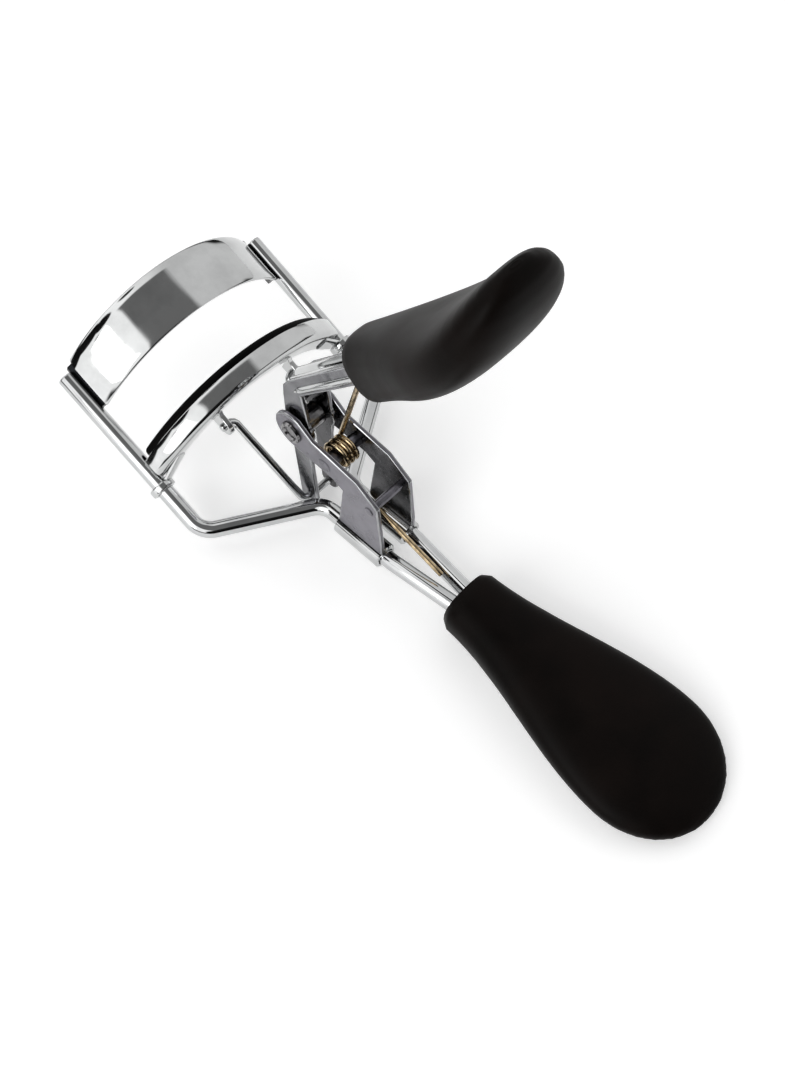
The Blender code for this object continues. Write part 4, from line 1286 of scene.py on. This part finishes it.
@dataclass
class Studio:
    """Camera, pale table, room and lamps."""

    azimuth_deg: float = -48.23
    elevation_deg: float = 60.65
    roll_deg: float = 2.18
    eye_mm: tuple[float, float, float] = (-56.919, -48.443, 140.198)
    lens_mm: float = 38.95
    side_light: float = 1.5
    side_grey: float = 0.86
    overhead_grey: float = 0.20
    horizon_grey: float = 0.02
    wall_x: Section = (-0.25, 0.5)
    ceiling_left_x: Section = (-0.47, -0.40)
    ceiling_right_x: Section = (0.36, 0.46)
    ceiling_back_y: Section = (0.16, 0.26)
    ceiling_low_z: Section = (0.05, 0.2)
    horizon_top_z: Section = (0.12, 0.26)
    horizon_gap_y: float = 0.12
    horizon_gap_edge: Section = (0.16, 0.34)
    table_colour: str = "#f7f7f7"
    table_glow: float = 0.32
    table_drop: float = 0.0002
    lamp_place: tuple[float, float, float] = (-0.55, -0.05, 0.38)
    lamp_size: float = 0.35
    lamp_power: float = 1.2
    panels: tuple[Panel, ...] = PANELS

    def camera(self) -> None:
        """Sets the camera at its place, aim and roll."""
        a, e = math.radians(self.azimuth_deg), math.radians(self.elevation_deg)
        back = Vector((math.sin(a) * math.cos(e), -math.cos(a) * math.cos(e), math.sin(e)))
        right = Vector((math.cos(a), math.sin(a), 0.0))
        up = back.cross(right)
        c, s = math.cos(math.radians(self.roll_deg)), math.sin(math.radians(self.roll_deg))
        turned_right, turned_up = right * c + up * s, up * c - right * s
        data = bpy.data.cameras.new("camera")
        data.lens = self.lens_mm
        data.sensor_width = 36.0
        data.clip_start = 0.005
        data.clip_end = 20.0
        camera = bpy.data.objects.new("camera", data)
        rows = Matrix((turned_right, turned_up, back)).transposed().to_4x4()
        camera.matrix_world = Matrix.Translation(DATUM + Vector(self.eye_mm) * MM) @ rows
        bpy.context.scene.collection.objects.link(camera)
        bpy.context.scene.camera = camera

    def table(self) -> None:
        """Builds the pale floor."""
        bm = bmesh.new()
        bmesh.ops.create_grid(bm, x_segments=1, y_segments=1, size=3.0)
        mesh = bpy.data.meshes.new("table")
        bm.to_mesh(mesh)
        bm.free()
        material, _, shader = new_material("white_laminate")
        shader.inputs["Base Color"].default_value = linear(self.table_colour)
        shader.inputs["Roughness"].default_value = 0.6
        shader.inputs["Emission Color"].default_value = linear(self.table_colour)
        shader.inputs["Emission Strength"].default_value = self.table_glow
        mesh.materials.append(material)
        table = bpy.data.objects.new("table", mesh)
        table.location.z = -self.table_drop
        bpy.context.scene.collection.objects.link(table)

    def room(self) -> None:
        """Lights the room: white wall left, grey right, a dark ceiling, a dark horizon and the panels."""
        world = bpy.data.worlds.new("studio")
        bpy.context.scene.world = world
        world.use_nodes = True
        tree = world.node_tree
        towards = add_node(tree, "TexCoord").outputs["Generated"]
        parts = add_node(tree, "SeparateXYZ", None, {"Vector": towards}).outputs
        falling = (1.0, 0.0)
        level = ramp(tree, parts["X"], self.wall_x, (self.side_light, self.side_grey))
        ceiling = ramp(tree, parts["X"], self.ceiling_left_x)
        for edge in (ramp(tree, parts["X"], self.ceiling_right_x, falling),
                     ramp(tree, parts["Y"], self.ceiling_back_y, falling),
                     ramp(tree, parts["Z"], self.ceiling_low_z)):
            ceiling = calculate(tree, "MULTIPLY", ceiling, edge)
        level = mix(tree, ceiling, level, self.overhead_grey)
        aside = calculate(tree, "ABSOLUTE", calculate(tree, "SUBTRACT", parts["Y"], self.horizon_gap_y))
        horizon = calculate(tree, "MULTIPLY", ramp(tree, parts["Z"], self.horizon_top_z, falling),
                            ramp(tree, aside, self.horizon_gap_edge))
        level = mix(tree, horizon, level, self.horizon_grey)
        for panel in self.panels:
            facing = add_node(tree, "VectorMath", {"operation": "DOT_PRODUCT"},
                              {0: towards, 1: tuple(Vector(panel.towards).normalized())}).outputs["Value"]
            limits = tuple(math.cos(math.radians(angle)) for angle in (panel.outer_deg, panel.inner_deg))
            level = mix(tree, ramp(tree, facing, limits), level, panel.level)
        background = tree.nodes["Background"]
        tree.links.new(level, background.inputs["Color"])
        background.inputs["Strength"].default_value = 1.0

    def lamp(self) -> None:
        """Adds a square soft lamp on the left that faces the object."""
        data = bpy.data.lights.new("left_softbox", "AREA")
        data.size = self.lamp_size
        data.energy = self.lamp_power
        lamp = bpy.data.objects.new("left_softbox", data)
        lamp.location = self.lamp_place
        aim = Vector((0.0, 0.0, 0.02)) - Vector(self.lamp_place)
        lamp.rotation_euler = aim.to_track_quat("-Z", "Y").to_euler()
        bpy.context.scene.collection.objects.link(lamp)

    def build(self) -> None:
        """Sets the whole studio."""
        bpy.context.scene.view_settings.view_transform = "Standard"
        self.camera()
        self.table()
        self.room()
        self.lamp()


def upper_grip_place(lever: Lever) -> Callable[[Vector], Vector]:
    """The moving grip's placement on the strap. Returns the function that places a point."""
    mouth = lever.strap_at(lever.strap_length, 0.0)

    def place(point: Vector) -> Vector:
        """Places a point of the moving grip. Returns it."""
        at = mouth + lever.strap_dir * point.y + lever.strap_out * point.z
        return Vector((point.x, at.x, at.y))

    return place


def lower_grip_place(point: Vector) -> Vector:
    """Places a point of the fixed grip on the frame wires. Returns it."""
    return Vector((point.x, GRIP_MOUTH_Y - point.y, max(RAILS.wire_z + LOWER_GRIP_LIFT - point.z, LAND_Z)))


def main() -> None:
    """Builds the curler, piece by piece, and the studio round it."""
    logging.basicConfig(level=logging.INFO, format="%(name)s: %(message)s")
    WireFrame().build()
    jaw = SlidingJaw()
    jaw.build()
    Link(jaw).build()
    Bracket().build()
    lever = Lever()
    lever.build()
    ReturnSpring(lever).build()
    Grip("lower_soft_grip", "lower_grip", Body.FRAME, lower_grip_place, length=40.6, curl_deg=8.1,
         curl_power=1.2, half_width=9.8, widest=0.74, mouth_half_width=4.5, mouth_half_thickness=3.6,
         tip_half_thickness=2.0).build()
    Grip("upper_soft_grip", "upper_grip", Body.LEVER, upper_grip_place(lever), length=33.2, curl_deg=50.4,
         curl_power=3.9, half_width=8.1, widest=0.67, mouth_half_width=4.0, mouth_half_thickness=4.2,
         tip_half_thickness=2.5).build()
    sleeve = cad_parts["pivot_sleeve"]
    sleeve.data.materials.clear()
    sleeve.data.materials.append(FINISHES.of(BRIGHT_STEEL))
    Studio().build()


if __name__ == "__main__":
    main()
